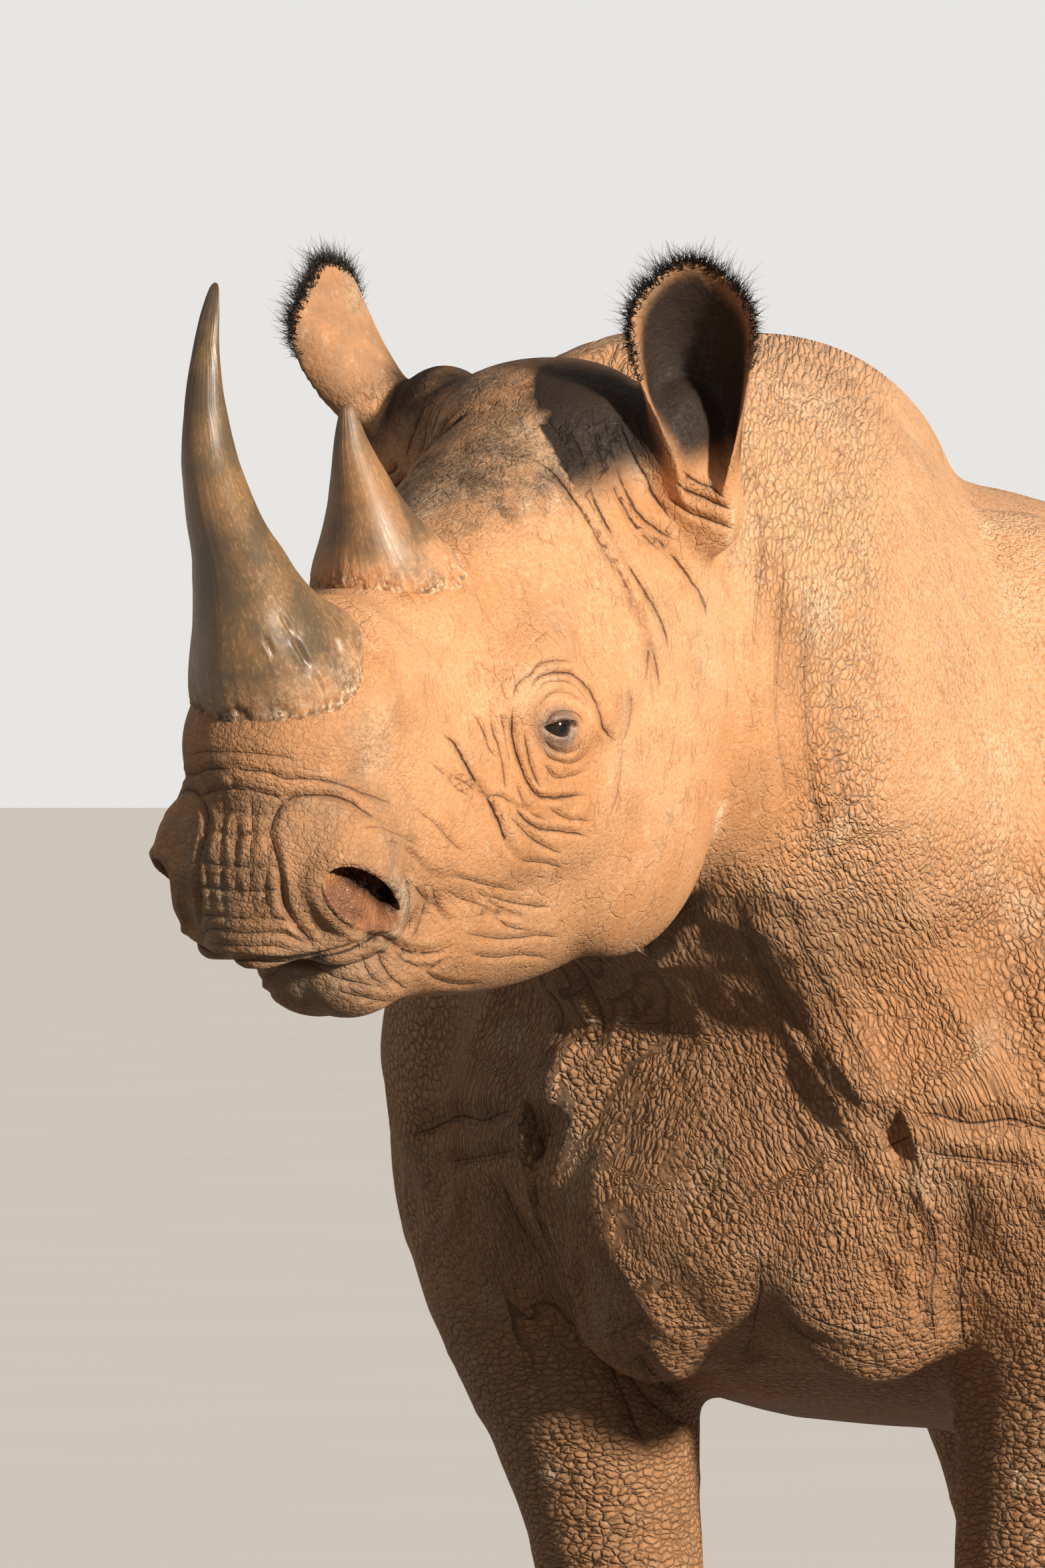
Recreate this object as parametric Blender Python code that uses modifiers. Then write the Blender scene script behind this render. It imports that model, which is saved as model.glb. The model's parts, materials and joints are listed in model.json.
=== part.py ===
"""Black rhinoceros (Diceros bicornis), a still life-size model standing on four feet.

Metres, +Z up, the animal faces -Y and its left side is +X. The flesh is modelled whole: lofted
trunk, neck, head and legs and rounded muscle masses are fused by a voxel remesh, smoothed and
lightened, and then parted by thin cuts into head, neck, trunk and legs. Ears, horns, eyes, tail
and nails are made on their own and let into the flesh with a small gap.
"""

import math

import bmesh
import bpy
from mathutils import Matrix, Vector

# ---------------------------------------------------------------- driving dimensions
SHOULDER_HEIGHT = 1.50
GAP = 0.0004                   # between neighbouring pieces
FUSE_VOXEL = 0.0125            # grid of the remesh that fuses the flesh
FUSE_SMOOTHS = 8               # smoothing passes after it
BODY_SMOOTHS = 36              # and more of them on the trunk and neck alone
FLESH_TRIANGLES = 3500         # of the whole fused flesh, before it is parted

HEAD_AT = Vector((-0.009, -1.225, 1.290))   # the middle of the back of the skull
HEAD_TURN = math.radians(9.5)               # to the animal's right
HEAD_PITCH = math.radians(19.5)             # nose down
HEAD_ROLL = math.radians(-2.4)

EYE_RADIUS = 0.0165
EYE_AT = Vector((0.318, 0.121, -0.022))     # in the head's own axes, left eye
EYE_LOOK = Vector((0.30, 0.95, 0.02))       # the way it looks

FORE_FOOT_Y = {"left": -0.600, "right": -0.600}
HIND_FOOT_Y = {"left": 0.740, "right": 0.560}
SIDES = {"left": 1, "right": -1}

SHIFT = (0.0, 0.372, 0.0)      # sets the origin under the middle of the whole animal

HORN_TONE = (0.30, 0.25, 0.19)
SKIN_TONE = (0.50, 0.34, 0.21)
EYE_TONE = (0.05, 0.03, 0.02)
NAIL_TONE = (0.28, 0.22, 0.17)


# ---------------------------------------------------------------- scene and materials
def clear_scene():
    for obj in list(bpy.data.objects):
        bpy.data.objects.remove(obj)


def new_collection(name):
    group = bpy.data.collections.new(name)
    bpy.context.scene.collection.children.link(group)
    return group


def principled(name, colour, roughness):
    material = bpy.data.materials.new(name)
    material.use_nodes = True
    shader = material.node_tree.nodes["Principled BSDF"]
    shader.inputs["Base Color"].default_value = (*colour, 1.0)
    shader.inputs["Roughness"].default_value = roughness
    shader.inputs["Metallic"].default_value = 0.0
    return material


def new_object(name, mesh, group):
    obj = bpy.data.objects.new(name, mesh)
    group.objects.link(obj)
    return obj


def object_from(bm, name, group):
    bm.normal_update()
    bmesh.ops.recalc_face_normals(bm, faces=bm.faces[:])
    mesh = bpy.data.meshes.new(name)
    bm.to_mesh(mesh)
    bm.free()
    return new_object(name, mesh, group)


def evaluated_mesh(obj):
    """The object's mesh with its modifiers applied and its place in its vertices."""
    bpy.context.view_layer.update()
    graph = bpy.context.evaluated_depsgraph_get()
    mesh = bpy.data.meshes.new_from_object(obj.evaluated_get(graph), depsgraph=graph)
    mesh.transform(obj.matrix_world)
    return mesh


def settle(obj):
    """Applies the object's modifiers and place to its mesh."""
    mesh = evaluated_mesh(obj)
    obj.modifiers.clear()
    obj.matrix_world = Matrix.Identity(4)
    obj.data = mesh
    return obj


# ---------------------------------------------------------------- shapes
def power(value, exponent):
    return math.copysign(abs(value) ** exponent, value)


def add_ring(bm, middle, across, up, size, sides, square=2.3, taper=0.0):
    """A closed egg-shaped ring of edges. size is (half width, rise, drop); taper narrows its top."""
    half_width, rise, drop = size
    verts = []
    for k in range(sides):
        turn = 2 * math.pi * k / sides
        side, height = power(math.cos(turn), 2 / square), power(math.sin(turn), 2 / square)
        reach = half_width * side * (1 - taper * height)
        verts.append(bm.verts.new(middle + across * reach + up * height * (rise if height > 0 else drop)))
    return [bm.edges.new((a, b)) for a, b in zip(verts, verts[1:] + verts[:1])]


def bridge(bm, rings):
    for low, high in zip(rings, rings[1:]):
        bmesh.ops.bridge_loops(bm, edges=low + high)
    bmesh.ops.holes_fill(bm, edges=rings[0] + rings[-1], sides=0)


def soften(obj, levels):
    softener = obj.modifiers.new("soften", "SUBSURF")
    softener.levels = softener.render_levels = levels
    return obj


def body_loft(name, stations, group, sides=14, square=2.3, taper=0.0):
    """A loft along Y. A station is (y, middle x, half width, lowest z, highest z)."""
    bm = bmesh.new()
    rings = []
    for y, x, half_width, low, high in stations:
        middle = low + 0.46 * (high - low)
        size = (half_width, high - middle, middle - low)
        rings.append(add_ring(bm, Vector((x, y, middle)), Vector((1, 0, 0)), Vector((0, 0, 1)),
                              size, sides, square, taper))
    bridge(bm, rings)
    return soften(object_from(bm, name, group), 2)


def leg_loft(name, stations, group, sides=12, square=2.25):
    """A loft along Z. A station is (z, x, y, half width, half depth)."""
    bm = bmesh.new()
    rings = []
    for z, x, y, half_width, half_depth in stations:
        rings.append(add_ring(bm, Vector((x, y, z)), Vector((1, 0, 0)), Vector((0, 1, 0)),
                              (half_width, half_depth, half_depth), sides, square))
    bridge(bm, rings)
    return soften(object_from(bm, name, group), 2)


def mass(name, middle, radii, group, turn=(0, 0, 0), place=Matrix.Identity(4), round_sides=20):
    """A rounded muscle or pad: an ellipsoid, turned by degrees about its own X, Y and Z."""
    bm = bmesh.new()
    bmesh.ops.create_uvsphere(bm, u_segments=round_sides, v_segments=3 * round_sides // 5, radius=1)
    turned = Matrix.Identity(4)
    for angle, axis in zip(turn, "XYZ"):
        turned = Matrix.Rotation(math.radians(angle), 4, axis) @ turned
    bm.transform(place @ Matrix.Translation(middle) @ turned @ Matrix.Diagonal((*radii, 1)))
    return object_from(bm, name, group)


def head_frame():
    """Head axes to world: x forward along the skull, y to the left, z up."""
    to_body = Matrix(((0, 1, 0, 0), (-1, 0, 0, 0), (0, 0, 1, 0), (0, 0, 0, 1)))
    turned = (Matrix.Rotation(-HEAD_TURN, 4, "Z") @ to_body @ Matrix.Rotation(HEAD_PITCH, 4, "Y")
              @ Matrix.Rotation(HEAD_ROLL, 4, "X"))
    return Matrix.Translation(HEAD_AT) @ turned


# ---------------------------------------------------------------- trunk and neck
def make_trunk(group):
    trunk = [  # y, x, half width, lowest z, highest z
        (-0.95, 0, 0.15, 0.80, 1.12),
        (-0.88, 0, 0.25, 0.68, 1.26),
        (-0.72, 0, 0.325, 0.590, 1.380),
        (-0.52, 0, 0.355, 0.566, 1.396),
        (-0.28, 0, 0.395, 0.550, 1.380),
        (0.00, 0, 0.430, 0.530, 1.362),
        (0.28, 0, 0.445, 0.515, 1.370),
        (0.55, 0, 0.415, 0.545, 1.405),
        (0.78, 0, 0.350, 0.650, 1.415),
        (0.96, 0, 0.270, 0.840, 1.350),
        (1.06, 0, 0.150, 0.98, 1.220),
    ]
    body_loft("trunk_form", trunk, group, sides=16, square=2.25, taper=0.22)
    for side, s in SIDES.items():
        mass(f"shoulder_{side}", (s * 0.205, -0.62, 1.00), (0.155, 0.235, 0.350), group, (10, -s * 6, 0))
        mass(f"shoulder_point_{side}", (s * 0.220, -0.735, 0.890), (0.128, 0.135, 0.200), group)
        mass(f"haunch_{side}", (s * 0.185, 0.80, 1.02), (0.165, 0.255, 0.320), group, (-10, s * 4, 0))
        mass(f"hip_{side}", (s * 0.190, 0.60, 1.235), (0.115, 0.17, 0.115), group)
        mass(f"breast_{side}", (s * 0.095, -0.800, 0.790), (0.115, 0.120, 0.185), group, (12, 0, 0))
    mass("withers", (0, -0.83, 1.318), (0.130, 0.440, 0.172), group, (3, 0, 0))
    mass("croup", (0, 0.68, 1.285), (0.150, 0.330, 0.160), group, (-3, 0, 0))


def make_neck(group):
    neck = [
        (-0.55, 0.000, 0.250, 0.78, 1.420),
        (-0.74, 0.000, 0.265, 0.80, 1.470),
        (-0.90, -0.002, 0.245, 0.870, 1.500),
        (-1.04, -0.006, 0.212, 0.950, 1.497),
        (-1.17, -0.012, 0.180, 1.015, 1.480),
        (-1.29, -0.024, 0.150, 1.055, 1.445),
    ]
    body_loft("neck_form", neck, group, sides=16, square=2.1, taper=0.24)


# ---------------------------------------------------------------- head
def make_head(group):
    skull = [  # x, half width, lowest z, highest z, narrowing of the top
        (-0.060, 0.085, -0.120, 0.110, 0.10),
        (-0.020, 0.125, -0.175, 0.165, 0.12),
        (0.050, 0.145, -0.225, 0.184, 0.14),
        (0.140, 0.143, -0.235, 0.168, 0.18),
        (0.230, 0.138, -0.220, 0.140, 0.20),
        (0.320, 0.128, -0.190, 0.115, 0.22),
        (0.410, 0.105, -0.160, 0.098, 0.16),
        (0.500, 0.092, -0.138, 0.088, 0.10),
        (0.575, 0.088, -0.118, 0.068, 0.04),
        (0.620, 0.072, -0.102, 0.020, 0.00),
        (0.645, 0.040, -0.088, -0.030, 0.00),
    ]
    place = head_frame()
    forward, left, up = (Vector(v) for v in ((1, 0, 0), (0, 1, 0), (0, 0, 1)))
    bm = bmesh.new()
    rings = []
    for x, half_width, low, high, narrow in skull:
        middle = low + 0.45 * (high - low)
        rings.append(add_ring(bm, forward * x + up * middle, left, up,
                              (half_width, high - middle, middle - low), 16, 2.35, narrow))
    bridge(bm, rings)
    bm.transform(place)
    soften(object_from(bm, "skull_form", group), 2)

    jaw = [  # x, half width, lowest z, highest z
        (0.010, 0.080, -0.235, -0.030),
        (0.060, 0.112, -0.272, 0.020),
        (0.130, 0.126, -0.290, 0.030),
        (0.220, 0.122, -0.288, 0.030),
        (0.310, 0.108, -0.268, 0.010),
        (0.390, 0.088, -0.238, -0.030),
        (0.450, 0.070, -0.218, -0.060),
        (0.500, 0.056, -0.204, -0.095),
        (0.532, 0.042, -0.184, -0.110),
        (0.550, 0.022, -0.160, -0.122),
    ]
    bm = bmesh.new()
    rings = []
    for x, half_width, low, high in jaw:
        middle = (low + high) / 2
        rings.append(add_ring(bm, forward * x + up * middle, left, up,
                              (half_width, high - middle, middle - low), 12, 2.3))
    bridge(bm, rings)
    bm.transform(place)
    soften(object_from(bm, "jaw_form", group), 2)

    for side, s in SIDES.items():
        mass(f"cheek_{side}", (0.150, s * 0.082, -0.140), (0.140, 0.060, 0.135), group, (0, 14, 0), place)
        mass(f"brow_{side}", (0.300, s * 0.084, 0.018), (0.090, 0.046, 0.040), group, (0, 12, 0), place)
        mass(f"cheekbone_{side}", (0.240, s * 0.100, -0.030), (0.110, 0.045, 0.040), group, (0, 8, 0), place)
        mass(f"nostril_wing_{side}", (0.570, s * 0.068, -0.050), (0.060, 0.036, 0.055), group, (0, 20, 0), place)
        mass(f"ear_root_{side}", (0.020, s * 0.105, 0.120), (0.055, 0.045, 0.055), group, (0, 0, 0), place)
        mass(f"lip_side_{side}", (0.540, s * 0.050, -0.104), (0.080, 0.036, 0.030), group, (0, 4, 0), place)
    mass("upper_lip", (0.610, 0, -0.088), (0.044, 0.052, 0.036), group, (0, 30, 0), place)
    mass("front_boss", (0.540, 0, 0.042), (0.088, 0.080, 0.066), group, (0, 12, 0), place)
    mass("rear_boss", (0.345, 0, 0.070), (0.100, 0.080, 0.052), group, (0, 10, 0), place)
    mass("crown", (0.045, 0, 0.134), (0.085, 0.100, 0.056), group, (0, -4, 0), place)


# ---------------------------------------------------------------- legs
def make_fore_leg(side, group):
    s, y = SIDES[side], FORE_FOOT_Y[side]
    leg_loft(f"fore_leg_form_{side}", [
        (-0.040, s * 0.184, y - 0.030, 0.098, 0.116),
        (0.025, s * 0.184, y - 0.030, 0.108, 0.126),
        (0.085, s * 0.183, y - 0.022, 0.098, 0.110),
        (0.150, s * 0.181, y - 0.006, 0.078, 0.086),
        (0.250, s * 0.179, y + 0.006, 0.068, 0.074),
        (0.360, s * 0.180, y + 0.000, 0.077, 0.086),
        (0.450, s * 0.184, y + 0.000, 0.072, 0.082),
        (0.540, s * 0.202, y - 0.005, 0.084, 0.104),
        (0.640, s * 0.226, y - 0.020, 0.112, 0.145),
        (0.760, s * 0.240, y - 0.035, 0.132, 0.175),
        (0.900, s * 0.240, y - 0.045, 0.135, 0.180),
    ], group)
    mass(f"elbow_{side}", (s * 0.215, y + 0.100, 0.735), (0.070, 0.070, 0.090), group)


def make_hind_leg(side, group):
    s, y = SIDES[side], HIND_FOOT_Y[side]
    leg_loft(f"hind_leg_form_{side}", [
        (-0.040, s * 0.188, y - 0.035, 0.096, 0.114),
        (0.025, s * 0.188, y - 0.035, 0.106, 0.124),
        (0.085, s * 0.186, y - 0.025, 0.098, 0.110),
        (0.150, s * 0.183, y + 0.000, 0.077, 0.086),
        (0.250, s * 0.180, y + 0.028, 0.070, 0.080),
        (0.350, s * 0.180, y + 0.052, 0.076, 0.098),
        (0.430, s * 0.182, y + 0.056, 0.080, 0.108),
        (0.540, s * 0.190, y + 0.020, 0.088, 0.112),
        (0.660, s * 0.205, y - 0.030, 0.112, 0.155),
        (0.800, s * 0.210, 0.5 * y + 0.315, 0.140, 0.210),
        (0.950, s * 0.195, 0.3 * y + 0.475, 0.150, 0.250),
    ], group)


# ---------------------------------------------------------------- ears
def ear_sheet(side, grow=0.0):
    """The curled leaf of an ear as a sheet, standing on the head; it leans outward along a bent spine."""
    rows = [  # height along the spine, arc radius, front half arc, rear half arc, lean forward
        (-0.030 - 6 * grow, 0.034, 0.098, 0.098, 0.000),
        (0.000, 0.035, 0.096, 0.100, 0.000),
        (0.028, 0.037, 0.088, 0.098, 0.001),
        (0.052, 0.040, 0.082, 0.092, 0.002),
        (0.074, 0.044, 0.082, 0.080, 0.003),
        (0.094, 0.049, 0.086, 0.086, 0.004),
        (0.116, 0.055, 0.082, 0.084, 0.008),
        (0.137, 0.062, 0.070, 0.074, 0.013),
        (0.156, 0.070, 0.050, 0.054, 0.018),
        (0.170, 0.078, 0.030, 0.032, 0.022),
        (0.179, 0.085, 0.012, 0.012, 0.024),
    ]
    across = 7
    facing = Matrix.Rotation(math.radians(EAR_FACING[side]), 4, "Z")
    low_lean, high_lean = EAR_LEAN[side]
    longer, deeper = EAR_SCALE[side]
    bm = bmesh.new()
    grid, spine, reached = [], Vector((0, 0, 0)), 0.0
    for height, radius, front, rear, fore in rows:
        share = min(1.0, max(0.0, (height - 0.07) / 0.06))
        lean = math.radians(low_lean + (high_lean - low_lean) * share)
        height *= longer
        spine = spine + Vector((0, math.sin(lean), math.cos(lean))) * (height - reached)
        reached = height
        tilt = Matrix.Translation(spine) @ Matrix.Rotation(-lean, 4, "X") @ facing
        row = []
        for k in range(across + 1):
            share = 2 * k / across - 1
            turn = share * ((front if share > 0 else rear) + 4 * grow) / radius
            row.append(bm.verts.new(tilt @ Vector((deeper * (radius * (1 - math.cos(turn)) - 0.026) + fore,
                                                   radius * math.sin(turn), 0))))
        grid.append(row)
    for low, high in zip(grid, grid[1:]):
        for k in range(across):
            bm.faces.new((low[k], low[k + 1], high[k + 1], high[k]))
    return bm


def ear_place(side):
    """Ear axes (x forward, y outward, z up) to world."""
    return head_frame() @ Matrix.Translation(EAR_AT[side]) @ Matrix.Diagonal((1, SIDES[side], 1, 1))


def make_ear(side, name, group, grow=0.0):
    bm = ear_sheet(side, grow)
    bm.transform(ear_place(side))
    ear = object_from(bm, name, group)
    shell = ear.modifiers.new("thickness", "SOLIDIFY")
    shell.thickness, shell.offset = EAR_THICKNESS + 12 * grow, 0.0
    shell.use_even_offset = False
    settle(ear)
    plug = mass(f"{name}_root", (0, 0, -0.012), (0.039 + grow, 0.039 + grow, 0.050 + grow), group,
                (-EAR_LEAN[side][0], 0, 0), ear_place(side), 10)
    join(ear, plug, "UNION")
    bpy.data.objects.remove(plug)
    return ear


# ---------------------------------------------------------------- horns
def make_horn(which, name, group, grow=0.0):
    """A horn in head axes. A station is (x, z, half length, half width, backward tilt in degrees)."""
    stations = HORNS[which]
    bm = bmesh.new()
    rings = []
    for k, (x, z, half_length, half_width, tilt) in enumerate(stations):
        lean = math.radians(tilt)
        z -= 3 * grow if k == 0 else 0.0
        along = Vector((math.cos(lean), 0, math.sin(lean)))
        rings.append(add_ring(bm, Vector((x, 0, z)), along, Vector((0, 1, 0)),
                              (half_length + grow, half_width + grow, half_width + grow), 14, 2.1))
    bridge(bm, rings)
    bm.transform(head_frame())
    return object_from(bm, name, group)


# ---------------------------------------------------------------- eyes, nails, tail
def make_eye(side, name, group, grow=0.0):
    s = SIDES[side]
    bm = bmesh.new()
    bmesh.ops.create_uvsphere(bm, u_segments=10, v_segments=7, radius=EYE_RADIUS + grow)
    look = Vector((EYE_LOOK.x, s * EYE_LOOK.y, EYE_LOOK.z))
    centre = Vector((EYE_AT.x, s * EYE_AT.y, EYE_AT.z))
    bm.transform(head_frame() @ Matrix.Translation(centre) @ look.to_track_quat("Z", "Y").to_matrix().to_4x4())
    return object_from(bm, name, group)


def make_nail(foot, turn, size, name, group, grow=0.0):
    """A nail let into the front of a foot: foot is (x, y, half width, half depth)."""
    x, y, half_width, half_depth = foot
    angle = math.radians(turn)
    middle = Vector((x + half_width * math.sin(angle), y - half_depth * math.cos(angle), NAIL_HEIGHT))
    bm = bmesh.new()
    bmesh.ops.create_uvsphere(bm, u_segments=8, v_segments=5, radius=1)
    radii = [r + grow for r in (size, NAIL_DEPTH, size)]
    bm.transform(Matrix.Translation(middle) @ Matrix.Rotation(angle, 4, "Z")
                 @ Matrix.Rotation(math.radians(-14), 4, "X") @ Matrix.Diagonal((*radii, 1)))
    cut = bmesh.ops.bisect_plane(bm, geom=bm.verts[:] + bm.edges[:] + bm.faces[:], plane_co=(0, 0, NAIL_CLEAR - grow),
                                 plane_no=(0, 0, -1), clear_outer=True)
    bmesh.ops.holes_fill(bm, edges=[e for e in bm.edges if e.is_boundary], sides=0)
    return object_from(bm, name, group)


def make_tail(name, group, grow=0.0):
    stations = [  # y, z, half width, half depth, tilt of the ring
        (0.960, 1.270, 0.045, 0.045, 75),
        (1.050, 1.235, 0.042, 0.040, 55),
        (1.100, 1.160, 0.034, 0.032, 25),
        (1.125, 1.050, 0.027, 0.025, 8),
        (1.135, 0.920, 0.021, 0.020, 2),
        (1.137, 0.800, 0.018, 0.017, 0),
        (1.136, 0.730, 0.022, 0.020, 0),
        (1.134, 0.660, 0.031, 0.026, 0),
        (1.131, 0.590, 0.028, 0.022, 0),
        (1.129, 0.545, 0.010, 0.008, 0),
    ]
    bm = bmesh.new()
    rings = []
    for k, (y, z, half_width, half_depth, tilt) in enumerate(stations):
        lean = math.radians(tilt)
        y -= 3 * grow if k == 0 else 0.0
        rings.append(add_ring(bm, Vector((0, y, z)), Vector((1, 0, 0)), Vector((0, math.cos(lean), math.sin(lean))),
                              (half_width + 3 * grow, half_depth + 3 * grow, half_depth + 3 * grow), 12, 2.0))
    bridge(bm, rings)
    return object_from(bm, name, group)


# ---------------------------------------------------------------- fusing and parting
def join(target, other, how):
    """A Boolean of two closed meshes, applied."""
    step = target.modifiers.new("join", "BOOLEAN")
    step.operation, step.solver, step.object = how, "EXACT", other
    return settle(target)


def copy_of(obj, name, group):
    return new_object(name, obj.data.copy(), group)


def fuse(forms, name, group):
    bm = bmesh.new()
    for form in forms:
        bm.from_mesh(evaluated_mesh(form))
    whole = object_from(bm, name, group)
    remesh = whole.modifiers.new("fuse", "REMESH")
    remesh.mode, remesh.voxel_size = "VOXEL", FUSE_VOXEL
    smooth = whole.modifiers.new("smooth", "SMOOTH")
    smooth.iterations, smooth.factor = FUSE_SMOOTHS, 0.5
    settle(whole)
    heavy = whole.vertex_groups.new(name="heavy")
    for vertex in whole.data.vertices:
        behind = min(1.0, max(0.0, (vertex.co.y + 1.10) / 0.20))
        above = min(1.0, max(0.0, (vertex.co.z - 0.60) / 0.20))
        heavy.add([vertex.index], behind * above, "REPLACE")
    calm = whole.modifiers.new("calm", "SMOOTH")
    calm.iterations, calm.factor, calm.vertex_group = BODY_SMOOTHS, 0.5, "heavy"
    settle(whole)
    whole.vertex_groups.clear()
    finer = whole.vertex_groups.new(name="coarse")
    for vertex in whole.data.vertices:
        ahead = min(1.0, max(0.0, (-0.85 - vertex.co.y) / 0.25))
        finer.add([vertex.index], 1.0 - 0.1 * ahead, "REPLACE")
    lighten = whole.modifiers.new("lighten", "DECIMATE")
    lighten.ratio = FLESH_TRIANGLES / (2 * len(whole.data.polygons))
    lighten.use_collapse_triangulate = True
    lighten.vertex_group, lighten.vertex_group_factor = "coarse", 1.0
    settle(whole)
    whole.vertex_groups.clear()
    return whole


def keep_side(obj, point, normal):
    """Cuts a closed mesh by a plane, keeps the side the normal points to and closes the cut."""
    bm = bmesh.new()
    bm.from_mesh(obj.data)
    bmesh.ops.bisect_plane(bm, geom=bm.verts[:] + bm.edges[:] + bm.faces[:], dist=1e-6, plane_co=point,
                           plane_no=normal, clear_inner=True)
    bmesh.ops.holes_fill(bm, edges=[e for e in bm.edges if e.is_boundary], sides=0)
    bmesh.ops.triangulate(bm, faces=[f for f in bm.faces if len(f.verts) > 4])
    bm.to_mesh(obj.data)
    bm.free()


def part_by_plane(flesh, point, normal, name, group):
    """The share of the flesh in front of the plane becomes a new piece; a gap is left behind it."""
    normal = Vector(normal).normalized()
    piece = copy_of(flesh, name, group)
    keep_side(piece, Vector(point), normal)
    keep_side(flesh, Vector(point) - normal * GAP, -normal)
    return piece


def part_by_block(flesh, block_of, name, group):
    """The share of the flesh inside a block becomes a new piece; a gap is left round it."""
    piece = copy_of(flesh, name, group)
    join(piece, block_of(0.0), "INTERSECT")
    join(flesh, block_of(GAP), "DIFFERENCE")
    return piece


def leg_block(which, side, group, grow):
    """The round-topped block that parts a leg from the trunk."""
    s = SIDES[side]
    y = (FORE_FOOT_Y if which == "fore" else HIND_FOOT_Y)[side]
    if which == "fore":
        stations = [(-0.20, 0.215, y - 0.01, 0.175, 0.26), (0.55, 0.225, y - 0.01, 0.185, 0.26),
                    (0.66, 0.235, y - 0.01, 0.180, 0.25), (0.74, 0.250, y - 0.02, 0.150, 0.20),
                    (0.78, 0.260, y - 0.02, 0.080, 0.10)]
    else:
        stations = [(-0.20, 0.215, y + 0.00, 0.175, 0.26), (0.50, 0.225, y + 0.00, 0.185, 0.26),
                    (0.70, 0.245, 0.6 * y + 0.265, 0.200, 0.28), (0.86, 0.270, 0.4 * y + 0.41, 0.190, 0.26),
                    (0.96, 0.290, 0.3 * y + 0.49, 0.130, 0.18), (1.00, 0.300, 0.3 * y + 0.49, 0.060, 0.09)]
    bm = bmesh.new()
    rings = [add_ring(bm, Vector((s * x, fore, z + grow)), Vector((1, 0, 0)), Vector((0, 1, 0)),
                      (half_width + grow, half_depth + grow, half_depth + grow), 16, 2.5)
             for z, x, fore, half_width, half_depth in stations]
    bridge(bm, rings)
    return object_from(bm, f"{which}_{side}_parting", group)


# ---------------------------------------------------------------- placing data used above
HEAD_CUT = (Vector((-0.032, 0, -0.05)), Vector((1.0, 0, 0.16)))       # a point and the way forward, head axes
NECK_CUT = ((0, -0.865, 1.18), (0, -0.953, 0.302))
HORNS = {
    "front": [
        (0.516, 0.030, 0.070, 0.060, 12),
        (0.524, 0.068, 0.078, 0.070, 13),
        (0.531, 0.098, 0.073, 0.065, 14),
        (0.542, 0.128, 0.060, 0.053, 15),
        (0.555, 0.162, 0.049, 0.043, 17),
        (0.570, 0.200, 0.039, 0.035, 16),
        (0.587, 0.242, 0.030, 0.027, 12),
        (0.597, 0.292, 0.022, 0.020, -1),
        (0.594, 0.338, 0.016, 0.015, -14),
        (0.577, 0.384, 0.010, 0.009, -28),
        (0.552, 0.420, 0.004, 0.004, -38),
    ],
    "rear": [
        (0.320, 0.046, 0.074, 0.060, 8),
        (0.326, 0.084, 0.080, 0.067, 10),
        (0.332, 0.106, 0.070, 0.059, 11),
        (0.341, 0.132, 0.052, 0.045, 12),
        (0.352, 0.164, 0.036, 0.032, 11),
        (0.361, 0.199, 0.023, 0.020, 8),
        (0.367, 0.234, 0.013, 0.011, 0),
        (0.365, 0.257, 0.004, 0.004, -10),
    ],
}
EAR_THICKNESS = 0.007
EAR_AT = {"left": (0.030, 0.130, 0.098), "right": (0.020, -0.134, 0.112)}
EAR_FACING = {"left": 28, "right": 95}              # degrees outward from straight ahead
EAR_SCALE = {"left": (1.08, 1.0), "right": (1.0, 0.72)}     # of its height and of the depth of its cup
EAR_LEAN = {"left": (4, 4), "right": (34, 8)}       # degrees outward, low and high on the ear
NAIL_HEIGHT, NAIL_DEPTH, NAIL_CLEAR = 0.036, 0.016, 0.003
NAILS = (("inner", -50, 0.030), ("middle", 0, 0.037), ("outer", 50, 0.030))
FEET = {
    "fore": {side: (SIDES[side] * 0.186, FORE_FOOT_Y[side] - 0.030, 0.108, 0.126) for side in SIDES},
    "hind": {side: (SIDES[side] * 0.188, HIND_FOOT_Y[side] - 0.035, 0.104, 0.122) for side in SIDES},
}


def keep_largest(obj):
    """Removes every loose shell of the mesh but the one with most faces."""
    bm = bmesh.new()
    bm.from_mesh(obj.data)
    unseen, shells = set(bm.faces), []
    while unseen:
        first = unseen.pop()
        shell, front = [first], [first]
        while front:
            face = front.pop()
            for edge in face.edges:
                for other in edge.link_faces:
                    if other in unseen:
                        unseen.discard(other)
                        shell.append(other)
                        front.append(other)
        shells.append(shell)
    shells.sort(key=len)
    for shell in shells[:-1]:
        bmesh.ops.delete(bm, geom=shell, context="FACES")
    bm.to_mesh(obj.data)
    bm.free()


def let_in(maker, values, host, name, group, tools):
    """Makes a piece and sinks it in its host, with a gap round it; a crumb cut loose is dropped."""
    maker(*values, name, group)
    join(host, maker(*values, f"{name}_pocket", tools, GAP), "DIFFERENCE")
    keep_largest(host)


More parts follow.
